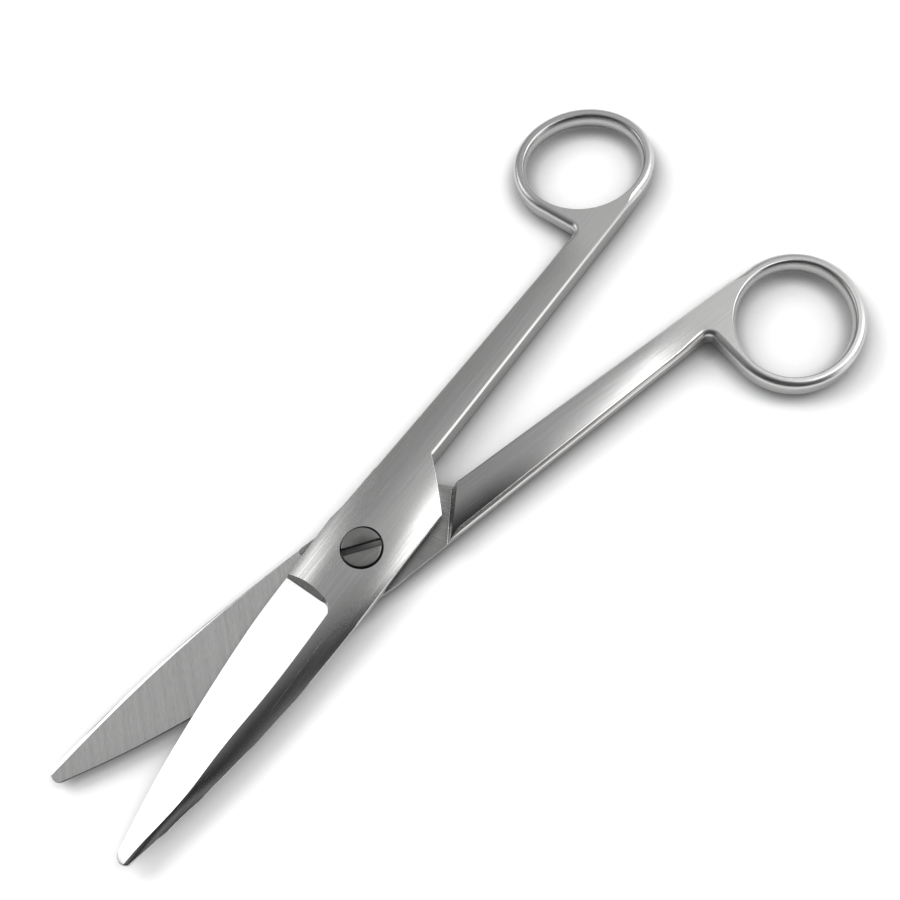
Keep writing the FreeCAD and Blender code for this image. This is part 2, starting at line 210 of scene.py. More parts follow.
@dataclass
class HalfForm:
    """Sizes of a half, and its height functions over the plan.

    A row of the blade gives its place as a share of the way from the heel to the tip, a row of the
    shank as u. Crown rows hold place, crest height, crest v, and the curvature to the spine and to
    the ring's side. Bevel rows hold place, height left at the edge, and the v of edge and ridge.
    """

    land_z: float = 2.15
    wall_v: float = 0.45
    seat_z: float = 0.03
    blade_length: float = 66.5
    heel: Point = (-11.3, 8.35)
    box_outer: Point = (1.0, 8.75)
    spine_v: float = -7.8
    shank_end_v: float = 6.15
    land_start_u: float = 75.0
    web_radius: float = 1.3
    tip_edge: Point = (-65.7, 1.2)
    tip_spine: Point = (-65.7, -1.95)
    edge_rows: Rows = ((0.16, 8.1), (0.38, 7.0), (0.62, 5.35), (0.803, 3.65))
    spine_rows: Rows = ((0.803, -3.85), (0.555, -5.8), (0.28, -7.15))

    ring_u: float = 88.7
    ring_slant: float = math.radians(-40.0)
    ring_hole: Point = (11.55, 10.45)
    ring_band: float = 2.5
    ring_flare: float = 0.85

    shoulder_u: float = 21.0
    shoulder_slant: float = math.radians(40.4)
    shoulder_draft: float = math.radians(28.0)
    shoulder_margin: float = 0.15
    stop_gap: float = 0.5
    foot_radius: float = 0.4

    blade_crown: Rows = (
        (1.06, 1.17, -1.20, 0.520, 0.0),
        (0.895, 1.42, -1.00, 0.400, 0.0),
        (0.71, 1.78, -0.90, 0.180, 0.0),
        (0.49, 2.18, -0.75, 0.113, 0.0),
        (0.27, 2.52, -0.50, 0.090, 0.020),
        (0.05, 2.83, -0.20, 0.066, 0.050),
    )
    shank_crown: Rows = (
        (-4.0, 2.97, 0.00, 0.052, 0.050),
        (6.0, 2.92, 0.20, 0.048, 0.048),
        (16.0, 2.60, 0.40, 0.046, 0.043),
        (27.0, 2.25, 0.45, 0.040, 0.038),
        (40.0, 2.15, 0.45, 0.037, 0.037),
        (57.0, 2.15, 0.45, 0.037, 0.037),
        (66.0, 2.15, 0.45, 0.034, 0.034),
        (71.5, 2.15, 0.45, 0.014, 0.014),
        (75.0, 2.15, 0.45, 0.0, 0.0),
    )
    # Past this u the crest never stands over the land
    level_u: float = 45.0
    under_curvature: float = 0.037
    under_start_u: float = 5.0

    bevel_rows: Rows = (
        (1.042, 0.2, 1.0, -1.2),
        (0.84, 0.3, 3.3, -1.95),
        (0.62, 0.4, 5.35, -2.45),
        (0.38, 0.5, 7.0, -2.85),
        (0.16, 0.5, 8.1, -2.9),
        (-0.06, 0.5, 8.35, -2.5),
    )
    runout_u: float = -14.5
    runout_slant: float = 0.22
    runout_draft: float = math.radians(50.0)
    runout_corner_v: float = -0.3
    runout_radius: float = 2.6
    # How far past the heel the grinding can reach
    grinding_reach: float = 2.0

    relief_start_u: float = -9.3
    relief_depth: float = 0.2
    relief_step: float = 0.06
    chamfer_width: Point = (0.55, 0.95)
    chamfer_rise: float = 0.45

    # The wheel leaves the bevel a touch steeper than its chord, and the spine's chamfer flatter
    bevel_sheen: float = 1.14
    chamfer_sheen: float = 0.2

    crest: Spline = field(init=False)
    crest_v: Spline = field(init=False)
    spine_curve: Spline = field(init=False)
    ring_curve: Spline = field(init=False)
    under_curve: Spline = field(init=False)
    bevel_left: Spline = field(init=False)
    bevel_edge: Spline = field(init=False)
    bevel_slope: Spline = field(init=False)
    edge: Spline = field(init=False)
    spine: Spline = field(init=False)
    ring_v: float = field(init=False)

    def __post_init__(self) -> None:
        """Draws the splines through the rows, and sets the ring against the shank's wall."""
        rows = np.array([*self.along_blade(self.blade_crown), *self.shank_crown])
        self.crest, self.crest_v, self.spine_curve, self.ring_curve = (
            Spline(rows[:, 0], rows[:, column]) for column in range(1, 5)
        )
        shank = rows[rows[:, 0] > 0]
        self.under_curve = Spline(shank[:, 0], np.minimum(shank[:, 4], self.under_curvature))
        u, left, edge_v, ridge_v = np.array(self.along_blade(self.bevel_rows)).T
        self.bevel_left, self.bevel_edge = Spline(u, left), Spline(u, edge_v)
        self.bevel_slope = Spline(u, (self.crown(u, ridge_v) - left) / (edge_v - ridge_v))
        edge = np.array([self.heel, *self.along_blade(self.edge_rows), self.tip_edge])
        self.edge = Spline(edge[:, 0], edge[:, 1])
        spine = np.array([self.tip_spine, *self.along_blade(self.spine_rows), (self.heel[0], self.spine_v)])
        self.spine = Spline(spine[:, 0], spine[:, 1])
        long_radius, short_radius = (radius + self.ring_band for radius in self.ring_hole)
        slant = self.ring_slant
        self.ring_v = self.wall_v + math.hypot(long_radius * math.sin(slant), short_radius * math.cos(slant))

    def along_blade(self, rows: Rows) -> List[Tuple[float, ...]]:
        """Rows with their share of the way from the heel to the tip turned into u."""
        return [(self.heel[0] + (self.tip_edge[0] - self.heel[0]) * share, *form) for share, *form in rows]

    def crown(self, u: Array, v: Array) -> Array:
        """Height of the crowned side, level on the land.

        Args:
            u: Places along the half.
            v: Places across it.

        Returns:
            One height for each place.
        """
        across = v - self.crest_v(u)
        curve = np.where(across < 0, self.spine_curve(u), self.ring_curve(u))
        curve = np.where(u > self.land_start_u, 0.0, np.maximum(curve, 0.0))
        high = np.where(u > self.level_u, np.minimum(self.crest(u), self.land_z), self.crest(u))
        return np.where(u > self.land_start_u, self.land_z, high - curve * across**2 / 2)

    def under(self, u: Array, v: Array) -> Array:
        """Height of the shank's other side.

        Args:
            u: Places along the half.
            v: Places across it.

        Returns:
            One height for each place.
        """
        curve = np.clip(self.under_curve(u), 0.0, self.under_curvature)
        curve = np.where(u > self.land_start_u, 0.0, curve)
        return -(self.land_z - curve * (v - self.wall_v) ** 2 / 2)

    def bevel(self, u: Array, v: Array) -> Array:
        """Height of the ground bevel."""
        return self.bevel_left(u) + (self.bevel_edge(u) - v) * self.bevel_slope(u)

    def runout(self, u: Array, v: Array) -> Array:
        """Height of the wheel's run-out wall at the bevel's upper end.

        Args:
            u: Places along the half.
            v: Places across it.

        Returns:
            One height for each place.
        """
        radius, corner = self.runout_radius, self.runout_corner_v
        low = np.clip(corner - v, 0.0, radius - 1e-6)
        shift = radius - np.sqrt(radius**2 - low**2)
        start = self.runout_u + self.runout_slant * np.maximum(v - corner, 0.0)
        high = (u + shift - start) / math.tan(self.runout_draft)
        return np.where(v < corner - radius, FAR_ABOVE, high)

    def ring_point(self, grow: float, angle: Array) -> Array:
        """Points of the ring's oval.

        Args:
            grow: How far outside the finger hole's narrowest line the oval runs.
            angle: Angles round the ring.

        Returns:
            One plan point for each angle.
        """
        c, s = math.cos(self.ring_slant), math.sin(self.ring_slant)
        x = (self.ring_hole[0] + grow) * np.cos(angle)
        y = (self.ring_hole[1] + grow) * np.sin(angle)
        return np.column_stack([self.ring_u + x * c - y * s, self.ring_v + x * s + y * c])

    def ring_extreme(self, along_u: float, along_v: float) -> float:
        """Angle at which the ring's outer oval reaches furthest in a direction.

        Args:
            along_u: The direction's share along the half.
            along_v: Its share across the half.

        Returns:
            The angle round the ring.
        """
        c, s = math.cos(self.ring_slant), math.sin(self.ring_slant)
        long_radius, short_radius = (radius + self.ring_band for radius in self.ring_hole)
        x, y = along_u * c + along_v * s, along_v * c - along_u * s
        return math.atan2(short_radius * y, long_radius * x)

    @property
    def ring_barrel(self) -> float:
        """Radius of the finger hole's barrel shape."""
        return (self.land_z**2 + self.ring_flare**2) / (2 * self.ring_flare)

    @property
    def wall_foot(self) -> float:
        """Distance of the shoulder wall from the pivot in the sliding plane."""
        top = self.shoulder_distance(self.shoulder_u, self.wall_v)
        return top - self.land_z * math.tan(self.shoulder_draft)

    def shoulder_distance(self, u: Array, v: Array) -> Array:
        """Distance of a plan point from the pivot, square to the shoulder."""
        return u * math.cos(self.shoulder_slant) + v * math.sin(self.shoulder_slant)

    def seat(self, u: Array, v: Array) -> Array:
        """Height of the seat and of the shoulder wall with its rounded foot.

        Args:
            u: Places along the half.
            v: Places across it.

        Returns:
            One height for each place.
        """
        radius = self.foot_radius
        rise = 1 / math.tan(self.shoulder_draft)
        distance = self.shoulder_distance(u, v) - self.wall_foot + self.seat_z * math.tan(self.shoulder_draft)
        angle = math.atan(rise)
        setback = radius * math.tan(angle / 2)
        on_arc = np.clip(distance + setback, 0.0, radius * math.sin(angle))
        arc = radius - np.sqrt(radius**2 - on_arc**2)
        past = np.maximum(distance + setback - radius * math.sin(angle), 0.0)
        return self.seat_z - arc - past * rise

    def chord(self, u: Array) -> Array:
        """v of the straight line from the heel to the cutting edge's end at the tip."""
        share = (u - self.heel[0]) / (self.tip_edge[0] - self.heel[0])
        return self.heel[1] + (self.tip_edge[1] - self.heel[1]) * share

    def relief(self, u: Array, v: Array) -> Array:
        """Height of the blade's hollow-ground inner face."""
        hollow = np.maximum(self.chord(u) - v, 0.0) * self.relief_depth
        return self.seat_z + hollow / (self.heel[1] - self.spine_v)

    def step(self, u: Array, v: Array) -> Array:
        """Height of the inner face with the small step where the relief starts."""
        share = np.clip((self.relief_start_u - u) / self.relief_step, 0.0, 1.0)
        return self.seat_z + (self.relief(u, v) - self.seat_z) * share

    def spine_chamfer(self, u: Array, v: Array) -> Array:
        """Height of the chamfer along the inner face's spine.

        Args:
            u: Places along the half.
            v: Places across it.

        Returns:
            One height for each place.
        """
        share = (u - self.relief_start_u) / (self.tip_spine[0] - self.relief_start_u)
        width = self.chamfer_width[0] + (self.chamfer_width[1] - self.chamfer_width[0]) * share
        rise = self.seat_z + self.chamfer_rise * (1 - (v - self.spine(u)) / width)
        return np.where(u > self.relief_start_u, FAR_BELOW, rise)

    def surfaces(self, side: Side) -> Dict[Region, Height]:
        """The single surfaces of one side, by region, as the polish rounds them.

        Args:
            side: The face of the half.

        Returns:
            Height functions, all in the half's own frame.
        """
        if side is Side.UPPER:
            return {
                Region.CROWN: self.crown,
                Region.LAND: self.crown,
                Region.BEVEL: lambda u, v: self.bevel_sheen * self.bevel(u, v),
                Region.RUNOUT: self.runout,
            }
        return {
            Region.UNDER: self.under,
            Region.LAND: self.under,
            Region.SEAT: self.seat,
            Region.SHOULDER: self.seat,
            Region.INNER_FACE: self.step,
            Region.CHAMFER: lambda u, v: self.chamfer_sheen * (self.spine(u) - v),
        }

    def pick(self, side: Side, u: Array, v: Array) -> Tuple[Array, Array]:
        """Height and region of plan points.

        Args:
            side: The face of the half.
            u: Places along the half.
            v: Places across it.

        Returns:
            The heights and the region numbers.
        """
        if side is Side.UPPER:
            crown, bevel, wall = self.crown(u, v), self.bevel(u, v), self.runout(u, v)
            cut = np.maximum(bevel, wall)
            ground = (cut < crown) & (u < self.heel[0] + self.grinding_reach)
            z = np.where(ground, cut, crown)
            region = np.where(ground, np.where(bevel >= wall, Region.BEVEL, Region.RUNOUT), Region.CROWN)
            region = np.where(u > self.land_start_u, Region.LAND, region)
        else:
            under = np.where(u > self.under_start_u, self.under(u, v), FAR_BELOW)
            seat, inner = self.seat(u, v), self.step(u, v)
            chamfer = self.spine_chamfer(u, v)
            z = np.maximum(under, seat)
            upright = self.shoulder_distance(u, v) > self.wall_foot - self.shoulder_margin
            region = np.where(under >= seat, Region.UNDER, np.where(upright, Region.SHOULDER, Region.SEAT))
            region = np.where(u > self.land_start_u, Region.LAND, region)
            blade = u < self.relief_start_u
            z = np.where(blade, np.maximum(inner, chamfer), z)
            blade_region = np.where(chamfer > inner, Region.CHAMFER, Region.INNER_FACE)
            region = np.where(blade, blade_region, region)
        return z, region.astype(int)


def unit(vectors: Array) -> Array:
    """Vectors brought to length 1, along the last axis."""
    return vectors / np.maximum(np.linalg.norm(vectors, axis=-1, keepdims=True), TINY)


def outward(points: Array, sharpest: float = 0.4) -> Tuple[Array, Array]:
    """Outward directions of a closed line.

    Args:
        points: The line, anticlockwise.
        sharpest: Least share by which a corner's mitre may be divided.

    Returns:
        The mitred direction at each point, and the direction of the run after each point.
    """
    along = unit(np.roll(points, -1, axis=0) - points)
    run = np.column_stack([along[:, 1], -along[:, 0]])
    both = unit(run + np.roll(run, 1, axis=0))
    share = np.maximum(np.sum(both * run, axis=1, keepdims=True), sharpest)
    return both / share, run


def spaced(start: Sequence[float], end: Sequence[float], gap: float) -> Array:
    """Points of a straight run.

    Args:
        start: First point.
        end: Where the run ends; this point is left out.
        gap: Greatest distance between two points.

    Returns:
        The plan points.
    """
    start, end = np.asarray(start, float), np.asarray(end, float)
    count = max(2, int(np.linalg.norm(end - start) / gap) + 1)
    share = np.arange(count) / count
    return start + (end - start) * share[:, None]


def arc_through(start: Sequence[float], middle: Sequence[float], end: Sequence[float], count: int) -> Array:
    """Points of the arc through three points.

    Args:
        start: First point.
        middle: Any point between the ends.
        end: Where the arc ends; this point is left out.
        count: How many points the arc gets.

    Returns:
        The plan points.
    """
    a, b, c = (complex(*p) for p in (start, middle, end))
    w = (c - a) / (b - a)
    centre = (b - a) * (w - abs(w) ** 2) / (2j * w.imag) + a
    first, mid, last = (np.angle(p - centre) for p in (a, b, c))
    turn = (last - first) % (2 * math.pi)
    if (mid - first) % (2 * math.pi) > turn:
        turn -= 2 * math.pi
    angle = first + turn * np.arange(count) / count
    radius = abs(a - centre)
    return np.column_stack([centre.real + radius * np.cos(angle), centre.imag + radius * np.sin(angle)])


def smooth_share(value: Array, low: float, high: float) -> Array:
    """0 below low, 1 above high, smooth between."""
    t = np.clip((value - low) / (high - low), 0.0, 1.0)
    return t * t * (3 - 2 * t)


@dataclass(frozen=True)
class Gain:
    """What a broken edge gains in size from one place along the half to another."""

    amount: float
    start_u: float
    end_u: float

    def at(self, u: Array) -> Array:
        """The gain at each place."""
        return self.amount * smooth_share(u, self.start_u, self.end_u)


@dataclass
class Outline:
    """The rim of a half: plan points of both sides, and how each edge is broken."""

    points: Dict[Side, Array]
    sizes: Dict[Side, Array]
    flat: Array
    rim_regions: Array
    wall_regions: Array


@dataclass
class RimPlan:
    """Draws the rim of a half, anticlockwise from under the ring.

    Sizes that come in pairs are for the upper and for the lower side.
    """

    form: HalfForm
    ring_count: int = 190
    web_count: int = 12
    blade_count: int = 110
    tip_count: int = 18
    box_count: int = 48
    end_count: int = 26
    wall_counts: Tuple[int, int] = (16, 130)
    # The wall's first points stand closer, up to this share of its length
    wall_start: float = 0.05
    straight_gap: float = 0.5
    shank_gap: float = 0.4

    shank_gain: Tuple[Gain, Gain] = (Gain(0.7, 1.0, 6.0), Gain(0.76, 13.2, 16.5))
    shank_ring_gain: Gain = Gain(0.4, 68.0, 74.0)
    wall_gain: Tuple[Gain, Gain] = (Gain(0.27, 21.3, 21.7), Gain(0.3, 20.8, 21.4))
    wall_ring_gain: float = 0.85
    ring_turn: Point = (84.0, 89.0)
    tip_break: float = 0.25
    tip_turn: Point = (61.0, 65.7)

    def web_arc(self, ring_left: Array) -> Tuple[Array, Array, Array]:
        """The rounded corner between the ring and the shank.

        Args:
            ring_left: The ring's outermost point toward the blade.

        Returns:
            The arc's first, middle and last point.
        """
        form = self.form
        slope = (form.box_outer[1] - form.shank_end_v) / (form.land_start_u - form.box_outer[0])
        corner = np.array([ring_left[0], form.shank_end_v - slope * (ring_left[0] - form.land_start_u)])
        shank_way = np.array(form.box_outer) - corner
        shank_way /= np.linalg.norm(shank_way)
        half_turn = math.acos(float(shank_way[1])) / 2
        setback = form.web_radius / math.tan(half_turn)
        web_end = corner + np.array([0.0, setback])
        shank_end = corner + shank_way * setback
        way = (web_end + shank_end) / 2 - corner
        way /= np.linalg.norm(way)
        middle = corner + way * (form.web_radius / math.sin(half_turn) - form.web_radius)
        return web_end, middle, shank_end

    def box_end(self, height: Height, rounds: int = 20) -> Array:
        """The slanted end of the box, which meets the other half's shoulder.

        Args:
            height: Height of the side along which the end is drawn.
            rounds: How often the line is set right for the height under it.

        Returns:
            The plan points, from the spine to the wall.
        """
        form = self.form
        v = np.linspace(form.spine_v, form.wall_v, self.end_count)
        low = form.wall_foot - form.stop_gap
        u = np.full(len(v), form.shoulder_u - 6.0)
        for _ in range(rounds):
            reach = low + height(u, v) * math.tan(form.shoulder_draft)
            u = (reach + v * math.sin(form.shoulder_slant)) / math.cos(form.shoulder_slant)
        return np.column_stack([u, v])

    def runs(self) -> List[Tuple[Run, Array, Array]]:
        """The runs of the rim in order.

        Returns:
            Each run with its plan points on the upper and on the lower side.
        """
        form = self.form
        bottom, left = form.ring_extreme(0, -1), form.ring_extreme(-1, 0)
        turn = (left - bottom) % (2 * math.pi)
        ring = form.ring_point(form.ring_band, bottom + turn * np.arange(self.ring_count) / self.ring_count)
        ring_left, ring_bottom = (form.ring_point(form.ring_band, np.array([at]))[0] for at in (left, bottom))
        web_end, middle, shank_end = self.web_arc(ring_left)
        edge_u = np.linspace(form.heel[0], form.tip_edge[0], self.blade_count)[:-1]
        spine_u = np.linspace(form.tip_spine[0], form.heel[0], self.blade_count)[:-1]
        tip = np.array([-form.blade_length, (form.tip_edge[1] + form.tip_spine[1]) / 2])
        made = [
            (Run.RING, ring),
            (Run.WEB, spaced(ring_left, web_end, self.straight_gap)),
            (Run.WEB, arc_through(web_end, middle, shank_end, self.web_count)),
            (Run.SHANK, spaced(shank_end, form.box_outer, self.shank_gap)),
            (Run.HEEL, spaced(form.box_outer, form.heel, self.straight_gap)),
            (Run.EDGE, np.column_stack([edge_u, form.edge(edge_u)])),
            (Run.TIP, arc_through(form.tip_edge, tip, form.tip_spine, self.tip_count)),
            (Run.SPINE, np.column_stack([spine_u, form.spine(spine_u)])),
        ]
        ends = (self.box_end(form.crown), self.box_end(lambda u, v: np.full(len(v), form.seat_z)))
        start = np.array([form.heel[0], form.spine_v])
        share = np.arange(self.box_count)[:, None] / self.box_count
        close, wide = self.wall_counts
        near = np.linspace(0, self.wall_start, close)[:-1]
        far = np.linspace(self.wall_start, 1, wide)[:-1]
        steps = np.concatenate([near, far])[:, None]
        return [(run, points, points) for run, points in made] + [
            (Run.BOX, *[start + (end[0] - start) * share for end in ends]),
            (Run.END, *[end[:-1] for end in ends]),
            (Run.WALL, *[end[-1] + (ring_bottom - end[-1]) * steps for end in ends]),
        ]

    def build(self) -> Outline:
        """Draws the rim.

        Returns:
            The rim with the sizes of its broken edges.
        """
        runs = self.runs()
        names = np.concatenate([np.full(len(upper), int(run)) for run, upper, _ in runs])
        points = {
            Side.UPPER: np.concatenate([upper for _, upper, _ in runs]),
            Side.LOWER: np.concatenate([lower for _, _, lower in runs]),
        }
        on_shank, on_wall, on_spine = (names == run for run in (Run.SHANK, Run.WALL, Run.SPINE))
        toward_ring = smooth_share(points[Side.UPPER][:, 0], *self.ring_turn)
        sizes = {}
        for k, side in enumerate(Side):
            u = points[side][:, 0]
            size = np.array([BREAKS[Run(name)][k] for name in names])
            shank = size + self.shank_gain[k].at(u) + self.shank_ring_gain.at(u)
            wall = size + self.wall_gain[k].at(u) + self.wall_ring_gain * toward_ring
            sizes[side] = np.where(on_shank, shank, np.where(on_wall, wall, size))
        upper = sizes[Side.UPPER]
        tip_share = smooth_share(-points[Side.UPPER][:, 0], *self.tip_turn)
        sizes[Side.UPPER] = np.where(on_spine, upper + (self.tip_break - upper) * tip_share, upper)
        flat = np.where(on_wall, 1.0 - toward_ring, 0.0)
        rims = np.where((names == Run.RING) | (names == Run.WEB), Region.RING_RIM, Region.ROUND)
        rims = np.where(names == Run.EDGE, Region.EDGE, rims)
        walls = np.where(names == Run.EDGE, Region.EDGE, Region.SIDE)
        return Outline(points, sizes, flat, rims, walls)


def two_triangles(a: Array, b: Array, c: Array, d: Array) -> Array:
    """Corner values of both triangles of each quad, all first triangles first."""
    return np.concatenate([np.stack([a, b, c], axis=1), np.stack([a, c, d], axis=1)])


@dataclass
class Patchwork:
    """Faces collected as corners, each with its normal, plan coordinate and region."""

    corners: List[Array] = field(default_factory=list)
    normals: List[Array] = field(default_factory=list)
    plans: List[Array] = field(default_factory=list)
    regions: List[Array] = field(default_factory=list)

    def add(self, corners: Array, normals: Array, plans: Array, region: Union[int, Array]) -> None:
        """Adds triangles.

        Args:
            corners: Positions, (n, 3, 3).
            normals: Normals, (n, 3, 3).
            plans: Texture coordinates in millimetres, (n, 3, 2).
            region: Region number of all faces, or one for each.
        """
        self.corners.append(corners)
        self.normals.append(normals)
        self.plans.append(plans)
        self.regions.append(np.broadcast_to(np.asarray(region), (len(corners),)).copy())

    def add_grid(self, rows: Array, normals: Array, plans: Array, region: Union[int, Array]) -> None:
        """Adds a closed band of quads as triangles.

        Args:
            rows: Positions, (rows, points, 3); the rows' left side is outside.
            normals: Normals, like rows.
            plans: Texture coordinates, (rows, points, 2).
            region: Region number of all faces, or one for each.
        """
        made = []
        for values in (rows, normals, plans):
            following = np.roll(values, -1, axis=1)
            quad = (values[:-1], following[:-1], following[1:], values[1:])
            made.append(two_triangles(*(corner.reshape(-1, values.shape[-1]) for corner in quad)))
        self.add(*made, region)

    def placed(self, angle: float, over: bool) -> Tuple[Array, Array]:
        """Corner positions and normals in the row frame, in metres.

        Args:
            angle: Turn about the pivot, in degrees.
            over: Whether the half is first turned over about u.

        Returns:
            Positions and normals.
        """
        corners, normals = np.concatenate(self.corners), np.concatenate(self.normals)
        if over:
            flip = np.array([1.0, -1.0, -1.0])
            corners, normals = corners * flip, normals * flip
        c, s = math.cos(math.radians(angle)), math.sin(math.radians(angle))
        turn = np.array([[c, -s, 0.0], [s, c, 0.0], [0.0, 0.0, 1.0]])
        return (corners @ turn.T + np.array(PIVOT)) * MM, normals @ turn.T


def inside(points: Array, loop: Array, batch: int = 4000) -> Array:
    """Which points lie inside a closed line.

    Args:
        points: Plan points.
        loop: The closed line.
        batch: How many points are looked at together.

    Returns:
        True or false for each point.
    """
    result = np.zeros(len(points), bool)
    x, y = points[:, 0][:, None], points[:, 1][:, None]
    ax, ay = loop[:, 0][None], loop[:, 1][None]
    bx, by = np.roll(loop[:, 0], -1)[None], np.roll(loop[:, 1], -1)[None]
    for start in range(0, len(points), batch):
        part = slice(start, start + batch)
        crosses = (ay > y[part]) != (by > y[part])
        at = ax + (y[part] - ay) * (bx - ax) / np.where(by == ay, 1e-12, by - ay)
        result[part] = np.sum(crosses & (x[part] < at), axis=1) % 2 == 1
    return result


def nearest_gap(points: Array, others: Array, batch: int = 2000) -> Array:
    """Distance of each point to the nearest of the others.

    Args:
        points: Plan points.
        others: The points they may lie close to.
        batch: How many points are looked at together.

    Returns:
        One distance for each point.
    """
    result = np.empty(len(points))
    for start in range(0, len(points), batch):
        part = points[start : start + batch]
        square = (part[:, None, 0] - others[None, :, 0]) ** 2 + (part[:, None, 1] - others[None, :, 1]) ** 2
        result[start : start + batch] = np.sqrt(square.min(axis=1))
    return result


@dataclass
class PlanMesh:
    """Triangulates a plan with holes, with edges along its creases."""

    outer: Array
    holes: List[Array]
    spacing: float
    # A crease keeps this far off the rims, and a free point this share of the spacing off all lines
    crease_gap: float = 0.04
    free_gap: float = 0.45
    merge: float = 1e-7

    def within(self, points: Array) -> Array:
        """Which points lie inside the outer rim and outside every hole."""
        return inside(points, self.outer) & ~np.any([inside(points, hole) for hole in self.holes], axis=0)

    def kept(self, line: Array) -> List[Array]:
        """Parts of a crease that stay clear of the rims.

        Args:
            line: The crease.

        Returns:
            Its runs of two points or more.
        """
        good = self.within(line)
        for loop in (self.outer, *self.holes):
            good &= nearest_gap(line, loop) > self.crease_gap
        breaks = np.flatnonzero(np.diff(good.astype(int))) + 1
        parts = zip(np.split(line, breaks), np.split(good, breaks))
        return [part for part, ok in parts if ok[0] and len(part) > 1]

    def free_points(self, fixed: Array) -> Array:
        """Points of an even triangular grid, clear of all lines.

        Args:
            fixed: The points of the rims and creases.

        Returns:
            The grid's points inside the plan.
        """
        low, high = self.outer.min(0), self.outer.max(0)
        grid = []
        rows = np.arange(low[1] + 0.3 * self.spacing, high[1], self.spacing * math.sqrt(3) / 2)
        for i, y in enumerate(rows):
            x = np.arange(low[0] + (0.5 * self.spacing if i % 2 else 0.0), high[0], self.spacing)
            grid.append(np.column_stack([x, np.full(len(x), y)]))
        free = np.concatenate(grid)
        free = free[self.within(free)]
        return free[nearest_gap(free, fixed) > self.free_gap * self.spacing]

    def build(self, creases: List[Array]) -> Tuple[Array, Array]:
        """Triangulates the plan.

        Args:
            creases: Open lines that edges must follow.

        Returns:
            Plan points and anticlockwise triangles.
        """
        lines = [self.outer, *self.holes]
        closed = len(lines)
        lines += [part for crease in creases for part in self.kept(crease)]
        edges: List[Tuple[int, int]] = []
        total = 0
        for k, line in enumerate(lines):
            n = len(line)
            edges += [(total + i, total + (i + 1) % n) for i in range(n if k < closed else n - 1)]
            total += n
        fixed = np.concatenate(lines)
        points = np.concatenate([fixed, self.free_points(fixed)])
        made = delaunay_2d_cdt([Vector(p) for p in points], edges, [], 0, self.merge, False)
        verts = np.array([tuple(v) for v in made[0]])
        tris = np.array([tuple(f) for f in made[2]])
        tris = tris[self.within(verts[tris].mean(axis=1))]
        a, b, c = (verts[tris[:, i]] for i in range(3))
        area = (b[:, 0] - a[:, 0]) * (c[:, 1] - a[:, 1]) - (b[:, 1] - a[:, 1]) * (c[:, 0] - a[:, 0])
        tris[area < 0] = tris[area < 0][:, ::-1]
        return verts, tris[np.abs(area) > TINY]


def slope_normals(height: Height, u: Array, v: Array, side: Side, step: float = 0.01) -> Array:
    """Unit normals of a height function.

    Args:
        height: The function.
        u: Places along the half.
        v: Places across it.
        side: The face that the surface belongs to.
        step: How far off each place the slope is measured.

    Returns:
        Normals that point out of the metal.
    """
    du = (height(u + step, v) - height(u - step, v)) / (2 * step)
    dv = (height(u, v + step) - height(u, v - step)) / (2 * step)
    return unit(np.stack([-du, -dv, np.ones_like(du)], axis=-1)) * side.value


def crossing(one: Height, two: Height, fixed: Array, reach: Point, along_u: bool) -> Array:
    """Where two height functions meet, found by halving.

    Args:
        one: The first function.
        two: The second function.
        fixed: The coordinate that stays, v if along_u and u otherwise.
        reach: Both ends of the search in the other coordinate.
        along_u: Whether the search runs along u.

    Returns:
        Plan points of the crease.
    """
    def gap(x: Array) -> Array:
        """Height of the first function over the second."""
        u, v = (x, fixed) if along_u else (fixed, x)
        return one(u, v) - two(u, v)

    a, b = (np.full(len(fixed), end) for end in reach)
    sign = np.sign(gap(a))
    good = sign * np.sign(gap(b)) < 0
    for _ in range(40):
        middle = (a + b) / 2
        same = np.sign(gap(middle)) == sign
        a, b = np.where(same, middle, a), np.where(same, b, middle)
    return np.column_stack([a, fixed] if along_u else [fixed, a])[good]


